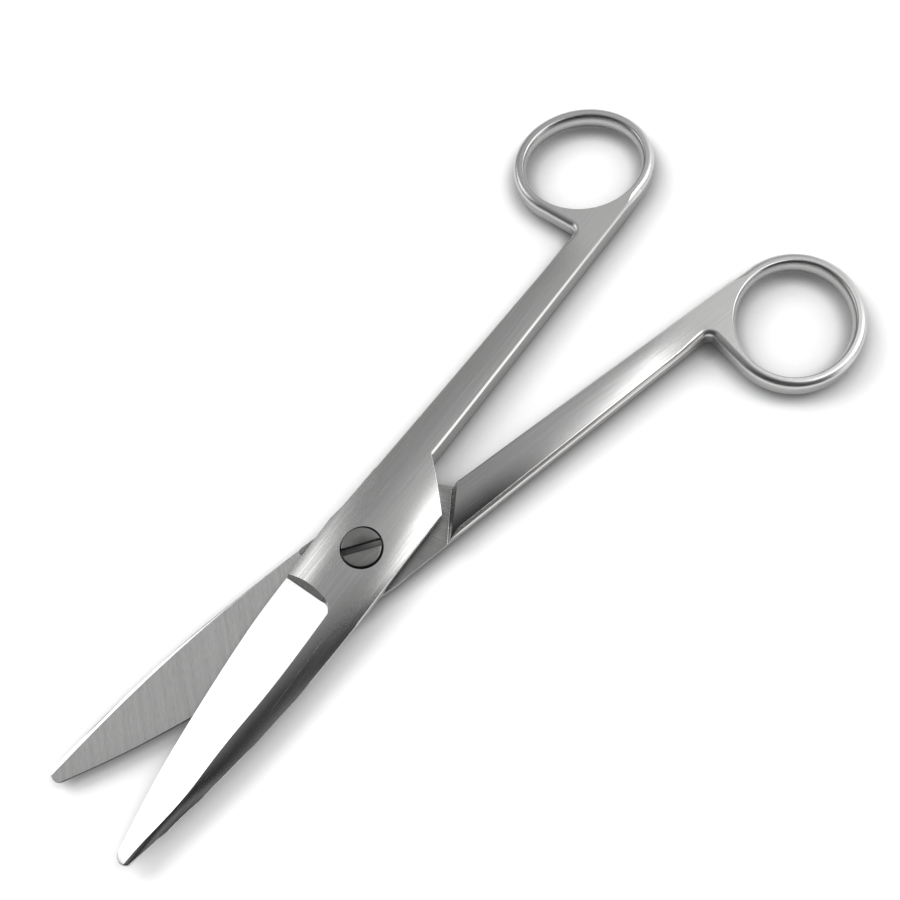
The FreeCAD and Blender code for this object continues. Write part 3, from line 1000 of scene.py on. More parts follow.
@dataclass
class HalfBuilder:
    """Meshes one half from its height functions."""

    form: HalfForm
    outline: Outline
    spacing: float = 0.55
    # Rows of a broken edge, and the greatest share of the thickness that it may take
    rows: int = 4
    thickness_share: float = 0.42
    wall_levels: Tuple[float, ...] = (0.0, 0.33, 0.67, 1.0)
    # Runs that meet at less than this angle share one soft normal
    soft_angle: float = math.radians(25)
    hole_count: int = 220
    hole_rows: int = 21
    hole_rim: float = 0.5
    hole_softness: float = 0.95
    crease_count: int = 60
    blade_crease_count: int = 180

    def surface_normals(self, side: Side, u: Array, v: Array, region: Array) -> Array:
        """Normals of plan points, each from the surface of its own region.

        Args:
            side: The face of the half.
            u: Places along the half, of any shape.
            v: Places across it, of the same shape.
            region: Region number of each entry of the first axis.

        Returns:
            Unit normals, with one axis more than u.
        """
        surfaces = self.form.surfaces(side)
        normals = np.zeros((*u.shape, 3))
        for number in np.unique(region):
            here = region == number
            normals[here] = slope_normals(surfaces[Region(number)], u[here], v[here], side)
        return normals

    def rim(self, side: Side) -> Tuple[Array, Array]:
        """Rows of the broken edge from the wall inwards.

        Args:
            side: The face of the half.

        Returns:
            Positions (rows, n, 3) and normals.
        """
        up, flat = side.value, self.outline.flat
        plan, other = self.outline.points[side], self.outline.points[side.opposite]
        size = self.outline.sizes[side]
        mitre, _ = outward(plan)
        out = np.column_stack([unit(mitre), np.zeros(len(mitre))])
        inward, inward_other = plan - mitre * size[:, None], other - mitre * size[:, None]
        own, _ = self.form.pick(side, inward[:, 0], inward[:, 1])
        far, _ = self.form.pick(side.opposite, inward_other[:, 0], inward_other[:, 1])
        size = np.minimum(size, self.thickness_share * np.abs(own - far))
        positions, normals = [], []
        for k in range(self.rows + 1):
            share = k / self.rows
            angle = share * math.pi / 2
            off = size * (flat * share + (1 - flat) * (1 - math.cos(angle)))
            drop = size * (flat * (1 - share) + (1 - flat) * (1 - math.sin(angle)))
            at = plan - mitre * off[:, None]
            z, region = self.form.pick(side, at[:, 0], at[:, 1])
            surface = self.surface_normals(side, at[:, 0], at[:, 1], region)
            lean = flat * math.pi / 4 + (1 - flat) * angle
            normals.append(unit(out * np.cos(lean)[:, None] + surface * np.sin(lean)[:, None]))
            positions.append(np.column_stack([at, z - up * drop]))
        return np.array(positions), np.array(normals)

    def creases(self, side: Side) -> List[Array]:
        """Plan lines along which a side changes from one surface to another.

        Args:
            side: The face of the half.

        Returns:
            Open lines of plan points, which may run on past the rim.
        """
        form, count = self.form, self.crease_count
        lines = [np.column_stack([np.full(count, form.land_start_u), np.linspace(-2, 14, count)])]
        if side is Side.UPPER:
            u = np.linspace(-65.6, -12.9, self.blade_crease_count)
            v = np.linspace(8.2, form.runout_corner_v - form.runout_radius + 0.15, count)
            across, along = (-6.5, 2.0), (-16.5, -9.0)
            lines.append(crossing(form.bevel, form.crown, u, across, False))
            lines.append(crossing(form.runout, form.crown, v, along, True))
            lines.append(crossing(form.bevel, form.runout, v, along, True))
            return lines
        v = np.linspace(form.wall_v - 0.5, 9.0, count)
        for share in (0.0, -0.6, 0.37):
            reach = form.wall_foot + share * form.foot_radius
            u = (reach - v * math.sin(form.shoulder_slant)) / math.cos(form.shoulder_slant)
            lines.append(np.column_stack([u, v]))
        lines.append(crossing(form.under, form.seat, v, (10.0, 24.0), True))
        for place in (form.relief_start_u, form.relief_start_u - form.relief_step):
            lines.append(np.column_stack([np.full(count, place), np.linspace(-9, 9, count)]))
        u = np.linspace(-66.2, form.relief_start_u - 0.2, self.blade_crease_count)
        lines.append(crossing(form.spine_chamfer, form.relief, u, (-9.0, 1.0), False))
        lines.append(np.column_stack([u, form.chord(u) - 0.001]))
        return lines

    def build(self, screw_rims: Dict[Side, Array]) -> Patchwork:
        """Meshes the half.

        Args:
            screw_rims: Plan points of the screw hole's rim on each side.

        Returns:
            The faces of the half in its own frame.
        """
        patch = Patchwork()
        feet = {}
        hole_angle = np.arange(self.hole_count) * 2 * math.pi / self.hole_count
        flare = self.form.ring_point(self.form.ring_flare, hole_angle)
        rim_region = np.tile(self.outline.rim_regions, 2 * self.rows)
        for side in Side:
            way = slice(None, None, int(side.value))
            positions, normals = self.rim(side)
            feet[side] = positions[0]
            patch.add_grid(positions[way], normals[way], self.rim_plans(positions)[way], rim_region)
            plan = PlanMesh(positions[-1][:, :2], [flare, screw_rims[side]], self.spacing)
            verts, tris = plan.build(self.creases(side))
            z, _ = self.form.pick(side, verts[:, 0], verts[:, 1])
            middle = verts[tris].mean(axis=1)
            _, region = self.form.pick(side, middle[:, 0], middle[:, 1])
            corner = np.column_stack([verts, z])[tris]
            normal = self.surface_normals(side, corner[..., 0], corner[..., 1], region)
            corner, normal = corner[:, way], normal[:, way]
            patch.add(corner, normal, corner[..., :2].copy(), region)
        self.add_wall(patch, feet[Side.UPPER], feet[Side.LOWER])
        self.add_finger_hole(patch, hole_angle)
        return patch

    @staticmethod
    def rim_plans(positions: Array) -> Array:
        """Texture coordinates of rows along a rim.

        Args:
            positions: The rows, (rows, points, 3).

        Returns:
            The way along the rim and across it, for each point.
        """
        first = positions[0, :, :2]
        steps = np.linalg.norm(np.roll(first, -1, axis=0) - first, axis=1)
        along = np.concatenate([[0.0], np.cumsum(steps)[:-1]])
        across = np.cumsum(np.linalg.norm(np.diff(positions, axis=0, prepend=positions[:1]), axis=2), axis=0)
        return np.stack([np.broadcast_to(along, across.shape), across], axis=-1)

    def add_wall(self, patch: Patchwork, top: Array, low: Array) -> None:
        """Adds the upright rim between the two broken edges.

        Args:
            patch: The half's faces.
            top: The upper broken edge's outer line.
            low: The lower one's.
        """
        rows = low[None] + (top - low)[None] * np.array(self.wall_levels)[:, None, None]
        _, run = outward(self.outline.points[Side.UPPER])
        before = np.roll(run, 1, axis=0)
        smooth = np.sum(run * before, axis=1) > math.cos(self.soft_angle)
        soft = unit(run + before)
        start = np.where(smooth[:, None], soft, run)
        end = np.where(np.roll(smooth, -1)[:, None], np.roll(soft, -1, axis=0), run)
        level_ways = [np.column_stack([way, np.zeros(len(top))]) for way in (start, end)]
        steps = np.linalg.norm(np.roll(top[:, :2], -1, axis=0) - top[:, :2], axis=1)
        along = np.concatenate([[0.0], np.cumsum(steps)])
        here, there = along[:-1], along[1:]
        for a, d in zip(rows, rows[1:]):
            b, c = np.roll(a, -1, axis=0), np.roll(d, -1, axis=0)
            rise = unit(c - b)
            starts, ends = (
                unit(way - rise * np.sum(way * rise, axis=1, keepdims=True)) for way in level_ways
            )
            places = ((here, a), (there, b), (there, c), (here, d))
            plans = [np.column_stack([place, corner[:, 2]]) for place, corner in places]
            normals = two_triangles(starts, ends, ends, starts)
            regions = np.tile(self.outline.wall_regions, 2)
            patch.add(two_triangles(a, b, c, d), normals, two_triangles(*plans), regions)

    def add_finger_hole(self, patch: Patchwork, angle: Array) -> None:
        """Adds the barrel-shaped side of the finger hole, with a softened rim on both faces.

        Args:
            patch: The half's faces.
            angle: Angles round the ring.
        """
        barrel, land = self.form.ring_barrel, self.form.land_z
        top = math.asin(land / barrel)
        rows, normals = [], []
        for lean in np.linspace(top, -top, self.hole_rows):
            ring = self.form.ring_point(barrel * (1 - math.cos(lean)), angle)
            level = np.full(len(ring), barrel * math.sin(lean))
            rows.append(np.column_stack([ring, level]))
            near_face = smooth_share(np.array(abs(level[0])), land - self.hole_rim, land)
            soft = near_face * (math.pi / 2 - top) * self.hole_softness
            tilt = lean + math.copysign(float(soft), lean)
            inward = -unit(outward(ring)[0]) * math.cos(tilt)
            normals.append(np.column_stack([inward, np.full(len(ring), math.sin(tilt))]))
        made = np.array(rows)
        patch.add_grid(made, np.array(normals), self.rim_plans(made), Region.RING_HOLE)


@dataclass(frozen=True)
class ScrewHole:
    """The hole of the pivot screw: bored and counterbored in one half, threaded in the other."""

    head_radius: float = 4.0
    head_shift: Point = (-0.06, -0.17)
    head_seat: float = 1.5
    bore_radius: float = 2.53
    thread_radius: float = 2.1
    count: int = 96

    def rims(self, threaded: bool) -> Dict[Side, Array]:
        """Plan points of the hole's rim on each side.

        Args:
            threaded: Whether this is the half that holds the screw.

        Returns:
            One circle for each side.
        """
        turn = np.arange(self.count) * 2 * math.pi / self.count
        circle = np.column_stack([np.cos(turn), np.sin(turn)])
        if threaded:
            return {side: circle * self.thread_radius for side in Side}
        upper = circle * self.head_radius + np.array(self.head_shift)
        return {Side.UPPER: upper, Side.LOWER: circle * self.bore_radius}

    def add(self, patch: Patchwork, form: HalfForm, threaded: bool) -> None:
        """Adds the turned inside of the hole, from the upper rim down to the lower.

        Args:
            patch: The half's faces.
            form: The half's height functions.
            threaded: Whether this is the half that holds the screw.
        """
        upper, lower = self.rims(threaded).values()
        counterbore = [] if threaded else [(upper, self.head_seat), (lower, self.head_seat)]
        profile = [(upper, form.crown(upper[:, 0], upper[:, 1])), *counterbore, (lower, form.seat_z)]
        for (ring, z0), (under, z1) in zip(profile, profile[1:]):
            high = np.column_stack([ring, np.broadcast_to(z0, len(ring))])
            low = np.column_stack([under, np.broadcast_to(z1, len(ring))])
            side = np.column_stack([unit(ring.mean(axis=0) - ring), np.zeros(len(ring))])
            flat = np.column_stack([np.zeros((len(ring), 2)), np.ones(len(ring))])
            normal = side if np.allclose(ring, under) else flat
            rows = np.stack([high, low])
            patch.add_grid(rows, np.stack([normal, normal]), rows[..., :2].copy(), Region.BORE)


def link(obj: bpy.types.Object) -> bpy.types.Object:
    """Links an object to the scene and returns it."""
    bpy.context.scene.collection.objects.link(obj)
    return obj


def make_piece(
    name: str, patch: Patchwork, over: bool, materials: Dict[Region, bpy.types.Material]
) -> bpy.types.Object:
    """Makes a Blender object of a half's faces.

    Args:
        name: Name of the object.
        patch: The faces.
        over: Whether the half is turned over.
        materials: The finish of each region.

    Returns:
        The new object, linked to the scene.
    """
    corners, normals = patch.placed(-HALF_ANGLE if over else HALF_ANGLE, over)
    flat = corners.reshape(-1, 3)
    # Corners within a tenth of a micrometre are one vertex
    keys = np.round(flat * 1e7).astype(np.int64)
    _, first, index = np.unique(keys, axis=0, return_index=True, return_inverse=True)
    faces = index.reshape(-1, 3)
    distinct = (faces[:, 0] != faces[:, 1]) & (faces[:, 1] != faces[:, 2]) & (faces[:, 0] != faces[:, 2])
    mesh = bpy.data.meshes.new(name)
    mesh.from_pydata(flat[first].tolist(), [], faces[distinct].tolist())
    plans = np.concatenate(patch.plans)[distinct]
    regions = np.concatenate(patch.regions)[distinct]
    layer = mesh.uv_layers.new(name="plan")
    layer.data.foreach_set("uv", (plans.reshape(-1, 2) * PLAN_SCALE).ravel())
    slots = np.zeros(len(regions), int)
    for slot, number in enumerate(np.unique(regions)):
        mesh.materials.append(materials[Region(number)])
        slots[regions == number] = slot
    mesh.polygons.foreach_set("material_index", slots)
    mesh.polygons.foreach_set("use_smooth", np.ones(len(regions), bool))
    mesh.normals_split_custom_set(normals[distinct].reshape(-1, 3).tolist())
    mesh.update()
    log.info("%s: %d triangles", name, int(distinct.sum()))
    return link(bpy.data.objects.new(name, mesh))


class Graph:
    """Short way to add and join shader nodes."""

    def __init__(self, tree: bpy.types.NodeTree) -> None:
        """Clears a node tree to build in it."""
        self.tree = tree
        tree.nodes.clear()

    def node(self, kind: str, inputs: Optional[Dict] = None, **settings: object) -> bpy.types.Node:
        """Adds a node.

        Args:
            kind: Blender's name of the node type.
            inputs: Sockets, by name or number, with a constant or the socket to link.
            settings: Attributes of the node.

        Returns:
            The node.
        """
        made = self.tree.nodes.new(kind)
        for name, value in settings.items():
            setattr(made, name, value)
        for key, value in (inputs or {}).items():
            socket = made.inputs[key]
            if isinstance(value, bpy.types.NodeSocket):
                self.tree.links.new(value, socket)
            else:
                socket.default_value = value
        return made

    def math(self, operation: str, *values: Union[float, Socket]) -> Socket:
        """Adds a math node and returns its result."""
        return self.node("ShaderNodeMath", dict(enumerate(values)), operation=operation).outputs[0]

    def product(self, first: Union[float, Socket], *others: Union[float, Socket]) -> Socket:
        """Multiplies values one after the other.

        Args:
            first: The first value.
            others: What it is multiplied by.

        Returns:
            The product.
        """
        for other in others:
            first = self.math("MULTIPLY", first, other)
        return first

    def scaled(self, tone: Union[Socket, Tuple[float, float, float]], by: Socket) -> Socket:
        """Multiplies a colour by a value and returns the result."""
        return self.node("ShaderNodeVectorMath", {0: tone, "Scale": by}, operation="SCALE").outputs[0]

    def noise(self, vector: Socket, scale: float, detail: float = 3.0, rough: float = 0.5) -> Socket:
        """Adds a noise texture and returns its value."""
        inputs = {"Vector": vector, "Scale": scale, "Detail": detail, "Roughness": rough}
        return self.node("ShaderNodeTexNoise", inputs).outputs["Fac"]

    def spread(self, value: Socket, low: float, high: float, out_low: float, out_high: float) -> Socket:
        """Maps a value's range to another and returns the result."""
        inputs = {"Value": value, "From Min": low, "From Max": high, "To Min": out_low, "To Max": out_high}
        return self.node("ShaderNodeMapRange", inputs).outputs["Result"]

    def openness(self, distance: float, samples: int) -> Socket:
        """How open the surface is to its surroundings within a distance in millimetres."""
        inputs = {"Distance": distance * MM}
        return self.node("ShaderNodeAmbientOcclusion", inputs, samples=samples).outputs["AO"]

    def place(self, plan: Socket, axis: str) -> Socket:
        """One plan coordinate, in millimetres."""
        split = self.node("ShaderNodeSeparateXYZ", {0: plan}).outputs[axis]
        return self.math("MULTIPLY", split, 1 / PLAN_SCALE)


@dataclass(frozen=True)
class Grain:
    """A noise stretched over the plan, by its grain along and across in millimetres."""

    along: float
    across: float
    shift: float = 0.0
    turn: float = 0.0
    detail: float = 3.0
    rough: float = 0.5

    def lay(self, graph: Graph, plan: Socket, angle: float = 0.0) -> Socket:
        """Adds the noise to a material.

        Args:
            graph: The material's nodes.
            plan: Plan coordinates.
            angle: Direction of the brushing, in degrees.

        Returns:
            The noise's value.
        """
        inputs = {"Vector": plan, "Angle": -math.radians(angle + self.turn)}
        turned = graph.node("ShaderNodeVectorRotate", inputs, rotation_type="Z_AXIS").outputs[0]
        unit_length = 1 / PLAN_SCALE
        scale = {
            "Vector": turned,
            "Location": (self.shift, self.shift * 0.7, 0.0),
            "Scale": (unit_length / self.along, unit_length / self.across, 1.0),
        }
        placed = graph.node("ShaderNodeMapping", scale).outputs[0]
        return graph.noise(placed, 1.0, self.detail, self.rough)


# Marks that all the steel has: broad streaks, clouds, and long fine scratches, broken here and there
BROAD = Grain(26.0, 0.9, 3.1)
CLOUDS = Grain(14.0, 9.0, 7.7, detail=4.0, rough=0.55)
HAIR = Grain(60.0, 0.2, 11.3, turn=1.5, detail=1.0, rough=0.4)
HAIR_BREAKS = Grain(7.0, 1.6, 4.1)
CROSS = Grain(45.0, 0.2, 5.9, turn=-27.0, detail=1.0, rough=0.4)
CROSS_BREAKS = Grain(5.0, 2.0, 8.3, turn=-27.0)
SLOT_RAGGED = Grain(0.9, 0.9)
# Where most values of a fine and of a soft noise lie
FINE_RANGE = (0.35, 0.65)
SOFT_RANGE = (0.3, 0.7)
SCRATCH_RANGE = (0.67, 0.73)
# Reach of the painted shade in corners, and the u along which a shank's finish turns into its ring's
CORNER_REACH = 1.2
LAND_FADE = (64.0, HalfForm.land_start_u)


@dataclass(frozen=True)
class Finish:
    """How one kind of surface was ground or polished, with any shade painted on its tone."""

    name: str
    tone: Tuple[float, float, float]
    roughness: float
    brush: float
    brush_angle: float
    anisotropy: float
    cloud: float
    scratches: float
    bump: float = 0.0004
    brush_gap: float = 0.22
    brush_length: float = 14.0
    # Painted shade in corners: how far ambient occlusion darkens the tone
    corner_shade: float = 0.5
    slot_line: float = 0.0
    # Painted shade on the outer half of a shank near the joint
    shade: float = 0.0
    # Tone and roughness on the ring's land, against those on the shank
    land: Tuple[float, float] = (1.0, 1.0)

    def scratch_lines(self, graph: Graph, plan: Socket) -> Socket:
        """Long hair scratches along the brushing and across it.

        Args:
            graph: The material's nodes.
            plan: Plan coordinates.

        Returns:
            1 on a scratch and 0 beside it.
        """
        angle = self.brush_angle
        hair_gaps = graph.spread(HAIR_BREAKS.lay(graph, plan, angle), 0.4, 0.7, -0.12, 0.06)
        cross_gaps = graph.spread(CROSS_BREAKS.lay(graph, plan, angle), 0.5, 0.75, -0.25, 0.03)
        hair = graph.math("ADD", HAIR.lay(graph, plan, angle), hair_gaps)
        cross = graph.math("ADD", CROSS.lay(graph, plan, angle), cross_gaps)
        return graph.spread(graph.math("MAXIMUM", hair, cross), *SCRATCH_RANGE, 0.0, 1.0)

    def slot_edge(self, graph: Graph, plan: Socket) -> Socket:
        """Darkens a ragged line along the slot's near edge.

        Args:
            graph: The material's nodes.
            plan: Plan coordinates, along and across the slot.

        Returns:
            A factor for the tone.
        """
        across = graph.place(plan, "Y")
        ragged = graph.spread(SLOT_RAGGED.lay(graph, plan), *SOFT_RANGE, -0.03, 0.03)
        middle = graph.math("ADD", across, PivotScrew.slot_width / 2 + 0.07)
        gap = graph.math("ABSOLUTE", graph.math("ADD", middle, ragged))
        return graph.spread(gap, 0.035, 0.09, 1.0 - 0.85 * self.slot_line, 1.0)

    def heel_shade(self, graph: Graph, plan: Socket) -> Socket:
        """Painted shade on the outer half of a shank where it meets the joint.

        Args:
            graph: The material's nodes.
            plan: Plan coordinates.

        Returns:
            A factor for the tone.
        """
        along = graph.spread(graph.place(plan, "X"), 24.0, 42.0, self.shade, 0.0)
        across = graph.spread(graph.place(plan, "Y"), 3.5, 7.0, 0.15, 1.0)
        return graph.math("SUBTRACT", 1.0, graph.math("MULTIPLY", along, across))

    def material(self) -> bpy.types.Material:
        """Makes the node material of the finish.

        Returns:
            The material.
        """
        material = bpy.data.materials.new(self.name)
        material.use_nodes = True
        graph = Graph(material.node_tree)
        plan = graph.node("ShaderNodeUVMap", uv_map="plan").outputs[0]
        angle, brush = self.brush_angle, self.brush
        fine = Grain(self.brush_length, self.brush_gap, detail=4.0, rough=0.62).lay(graph, plan, angle)
        broad = BROAD.lay(graph, plan, angle)
        cloud = CLOUDS.lay(graph, plan)
        hairs = self.scratch_lines(graph, plan)
        streaks = graph.math("ADD", graph.math("MULTIPLY", fine, 0.6), graph.math("MULTIPLY", broad, 0.4))

        light = graph.spread(streaks, *FINE_RANGE, 1.0 - 0.2 * brush, 1.0 + 0.16 * brush)
        cloudy = graph.spread(cloud, *SOFT_RANGE, 1.0 - 0.14 * self.cloud, 1.0 + 0.06 * self.cloud)
        lined = graph.spread(hairs, 0.0, 1.0, 1.0, 1.0 + 0.3 * self.scratches)
        # Painted shade: the tone darkens where other metal closes the surface in
        corner_shading = graph.spread(graph.openness(CORNER_REACH, 6), 0.3, 0.95, 1.0 - self.corner_shade, 1.0)
        value = graph.product(light, cloudy, lined, corner_shading)

        rough = graph.spread(
            streaks, *FINE_RANGE, self.roughness * (1 + 0.35 * brush), self.roughness * (1 - 0.25 * brush)
        )
        rough = graph.math("ADD", rough, graph.spread(cloud, *SOFT_RANGE, 0.05 * self.cloud, 0.0))
        rough = graph.math("ADD", rough, graph.math("MULTIPLY", hairs, 0.08 * self.scratches))
        if self.land != (1.0, 1.0):
            along = graph.place(plan, "X")
            value, rough = (
                graph.math("MULTIPLY", given, graph.spread(along, *LAND_FADE, 1.0, reached))
                for given, reached in zip((value, rough), self.land)
            )
        if self.slot_line:
            value = graph.math("MULTIPLY", value, self.slot_edge(graph, plan))
        tone = graph.scaled(self.tone, value)
        if self.shade:
            tone = graph.scaled(tone, self.heel_shade(graph, plan))

        height = graph.math("ADD", fine, graph.math("MULTIPLY", hairs, -0.5))
        relief = {"Height": height, "Distance": self.bump * MM * 10, "Strength": 0.5 * brush + 0.1}
        inputs = {
            "Base Color": tone,
            "Metallic": 1.0,
            "Roughness": rough,
            "Anisotropic": self.anisotropy,
            "Anisotropic Rotation": (0.25 + angle / 360.0) % 1.0,
            "Normal": graph.node("ShaderNodeBump", relief).outputs[0],
            "Tangent": graph.node("ShaderNodeTangent", direction_type="UV_MAP", uv_map="plan").outputs[0],
        }
        shader = graph.node("ShaderNodeBsdfPrincipled", inputs)
        graph.node("ShaderNodeOutputMaterial", {"Surface": shader.outputs[0]})
        return material


STEEL = (0.60, 0.596, 0.592)

FINISHES = {
    Region.CROWN: Finish("satin_steel", STEEL, 0.22, 0.6, 0.0, 0.45, 0.3, 0.6, land=(0.96, 1.4)),
    # The back half's shank gets painted shade on its outer half near the joint
    Region.UNDER: Finish(
        "satin_under", (0.475, 0.472, 0.47), 0.21, 0.6, 0.0, 0.45, 0.3, 0.6, land=(1.2, 1.45), shade=0.8
    ),
    Region.RING_RIM: Finish("ring_rim", (0.57, 0.567, 0.565), 0.30, 0.3, 0.0, 0.2, 0.3, 0.4),
    # Painted shade: the cutting edge's narrow wall gets a dark tone for the shadow it reflects below it
    Region.EDGE: Finish("thin_edge", (0.2, 0.195, 0.19), 0.25, 0.3, 0.0, 0.2, 0.2, 0.2),
    Region.BEVEL: Finish("ground_bevel", (0.72, 0.715, 0.71), 0.16, 0.12, 90.0, 0.2, 0.08, 0.1),
    Region.RUNOUT: Finish(
        "wheel_runout", (0.54, 0.536, 0.532), 0.22, 0.25, 90.0, 0.3, 0.15, 0.2, corner_shade=0.85
    ),
    Region.RING_HOLE: Finish("ring_hole", (0.5, 0.497, 0.494), 0.27, 0.4, 0.0, 0.3, 0.3, 0.4),
    Region.LAND: Finish("matt_ring", (0.572, 0.568, 0.565), 0.305, 0.6, 0.0, 0.45, 0.3, 0.6),
    Region.INNER_FACE: Finish(
        "cross_ground", (0.72, 0.716, 0.712), 0.34, 1.0, 112.0, 0.5, 0.25, 0.5,
        brush_gap=0.14, brush_length=1.6,
    ),
    # Painted shade: the seat's tone is darkened for the dark metal it reflects; its mottle is machining marks
    Region.SEAT: Finish("milled_seat", (0.36, 0.357, 0.354), 0.24, 1.2, 60.0, 0.5, 2.6, 0.9, corner_shade=0.92),
    Region.SHOULDER: Finish("milled_shoulder", STEEL, 0.26, 0.4, 0.0, 0.3, 0.2, 0.3),
    Region.CHAMFER: Finish("bright_chamfer", (0.78, 0.777, 0.774), 0.18, 0.15, 0.0, 0.2, 0.1, 0.1),
    # Painted shade: the flanks' tone is darkened for the shaded floor they reflect
    Region.SIDE: Finish("flank_steel", (0.48, 0.477, 0.474), 0.28, 0.6, 0.0, 0.4, 0.25, 0.5, corner_shade=0.8),
    Region.ROUND: Finish("broken_edge", (0.64, 0.63, 0.62), 0.22, 0.25, 0.0, 0.2, 0.2, 0.3),
    Region.BORE: Finish("turned_bore", (0.4, 0.39, 0.38), 0.4, 0.4, 0.0, 0.2, 0.3, 0.2),
}
SCREW_FINISH = Finish("dark_screw", (0.27, 0.267, 0.264), 0.46, 0.5, 20.0, 0.3, 0.5, 0.4, slot_line=1.0)
SLOT_FINISH = Finish("sawn_slot", (0.25, 0.247, 0.244), 0.45, 1.2, 0.0, 0.4, 0.5, 0.6, corner_shade=0.6)


@dataclass
class Halves:
    """The two congruent halves; the back one is the front one turned over."""

    form: HalfForm = field(default_factory=HalfForm)
    hole: ScrewHole = ScrewHole()
    spacing: float = 0.55
    materials: Dict[Region, bpy.types.Material] = field(default_factory=dict)

    def build(self) -> None:
        """Dresses and builds both halves."""
        self.materials = {region: finish.material() for region, finish in FINISHES.items()}
        outline = RimPlan(self.form).build()
        self.build_half("front_half_steel", outline, False)
        self.build_half("back_half_steel", outline, True)

    def build_half(self, name: str, outline: Outline, over: bool) -> None:
        """Builds one half.

        Args:
            name: Name of the piece.
            outline: The rim that both halves share.
            over: Whether this is the half that is turned over and holds the screw.
        """
        patch = HalfBuilder(self.form, outline, self.spacing).build(self.hole.rims(over))
        self.hole.add(patch, self.form, over)
        piece = make_piece(name, patch, over, self.materials)
        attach(piece, "back" if over else "front")
        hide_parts("back_half" if over else "front_half")


@dataclass
class PivotScrew:
    """The slotted screw: a turned solid with a sawn slot."""

    head_radius: float = 3.72
    head_top: float = 2.82
    head_seat: float = 1.5
    shank_radius: float = 2.5
    thread_radius: float = 2.1
    end: float = 2.85
    end_break: float = 0.15
    # The head's rounded rim, as steps in from its side and down from its top
    head_round: Tuple[Point, ...] = ((0.0, 0.2), (0.04, 0.09), (0.1, 0.03), (0.2, 0.0))
    slot_width: float = 1.34
    slot_depth: float = 0.75
    slot_angle: float = math.radians(-30.0)
    count: int = 128
    edge_break: float = 0.05
    saw_reach: float = 6.0

    def profile(self) -> List[Point]:
        """Radius and height of the turned solid, from the end of the thread to the head's top.

        Returns:
            The corners; the first and the last lie on the axis.
        """
        thread, side = self.thread_radius, self.head_radius
        return [
            (0.0, -self.end), (thread - self.end_break, -self.end), (thread, -self.end + self.end_break),
            (thread, 0.0), (self.shank_radius, 0.0), (self.shank_radius, self.head_seat),
            (side, self.head_seat), *[(side - off, self.head_top - down) for off, down in self.head_round],
            (0.0, self.head_top),
        ]

    def turned(self) -> Tuple[List[Tuple[float, float, float]], List[Tuple[int, ...]]]:
        """Turns the profile round the axis.

        Returns:
            Vertices in millimetres and faces.
        """
        profile, count = self.profile(), self.count
        verts = [(0.0, 0.0, profile[0][1])]
        for radius, z in profile[1:-1]:
            for angle in (2 * math.pi * i / count for i in range(count)):
                verts.append((radius * math.cos(angle), radius * math.sin(angle), z))
        verts.append((0.0, 0.0, profile[-1][1]))
        faces: List[Tuple[int, ...]] = [(0, 1 + (i + 1) % count, 1 + i) for i in range(count)]
        rings = len(profile) - 2
        for a in (1 + ring * count for ring in range(rings - 1)):
            b = a + count
            faces += [(a + i, a + (i + 1) % count, b + (i + 1) % count, b + i) for i in range(count)]
        last = 1 + (rings - 1) * count
        faces += [(last + i, last + (i + 1) % count, len(verts) - 1) for i in range(count)]
        return verts, faces

    def build(self) -> None:
        """Builds the screw in its place, with its slot and softened edges."""
        verts, faces = self.turned()
        mesh = bpy.data.meshes.new("pivot_screw_steel")
        turn = Matrix.Translation([c * MM for c in PIVOT]) @ Matrix.Scale(MM, 4)
        mesh.from_pydata([turn @ Vector(v) for v in verts], [], faces)
        screw = link(bpy.data.objects.new("pivot_screw_steel", mesh))
        for finish in (SCREW_FINISH, SLOT_FINISH):
            mesh.materials.append(finish.material())
        self.saw_slot(screw)
        bevel = screw.modifiers.new("edges", "BEVEL")
        bevel.width = self.edge_break * MM
        bevel.segments = 2
        bevel.limit_method = "ANGLE"
        bevel.angle_limit = math.radians(50)
        bevel.harden_normals = True
        done = self.applied(screw)
        self.lay_plan(done)
        for polygon in done.polygons:
            polygon.use_smooth = True
        done.set_sharp_from_angle(angle=math.radians(35))
        log.info("%s: %d faces", screw.name, len(done.polygons))
        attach(screw, "back")
        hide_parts("pivot_screw")

    @staticmethod
    def applied(obj: bpy.types.Object) -> bpy.types.Mesh:
        """Applies an object's modifiers.

        Args:
            obj: The object, which keeps no modifier.

        Returns:
            Its new mesh.
        """
        depsgraph = bpy.context.evaluated_depsgraph_get()
        done = bpy.data.meshes.new_from_object(obj.evaluated_get(depsgraph))
        obj.modifiers.clear()
        obj.data = done
        return done

    def saw_slot(self, screw: bpy.types.Object) -> None:
        """Cuts the slot into the screw's head.

        Args:
            screw: The turned screw.
        """
        mesh = bpy.data.meshes.new("saw")
        long, wide = self.saw_reach, self.slot_width / 2
        plan = ((-long, -wide), (long, -wide), (long, wide), (-long, wide))
        corners = [(x, y, z) for z in (self.head_top - self.slot_depth, self.head_top + 1) for x, y in plan]
        turn = Matrix.Translation([c * MM for c in PIVOT])
        turn = turn @ Matrix.Rotation(self.slot_angle, 4, "Z") @ Matrix.Scale(MM, 4)
        faces = [(0, 3, 2, 1), (4, 5, 6, 7), (0, 1, 5, 4), (1, 2, 6, 5), (2, 3, 7, 6), (3, 0, 4, 7)]
        mesh.from_pydata([turn @ Vector(c) for c in corners], [], faces)
        for material in screw.data.materials:
            mesh.materials.append(material)
        for polygon in mesh.polygons:
            polygon.material_index = 1
        saw = link(bpy.data.objects.new("saw", mesh))
        cut = screw.modifiers.new("slot", "BOOLEAN")
        cut.object = saw
        cut.operation = "DIFFERENCE"
        cut.solver = "EXACT"
        self.applied(screw)
        bpy.data.objects.remove(saw)

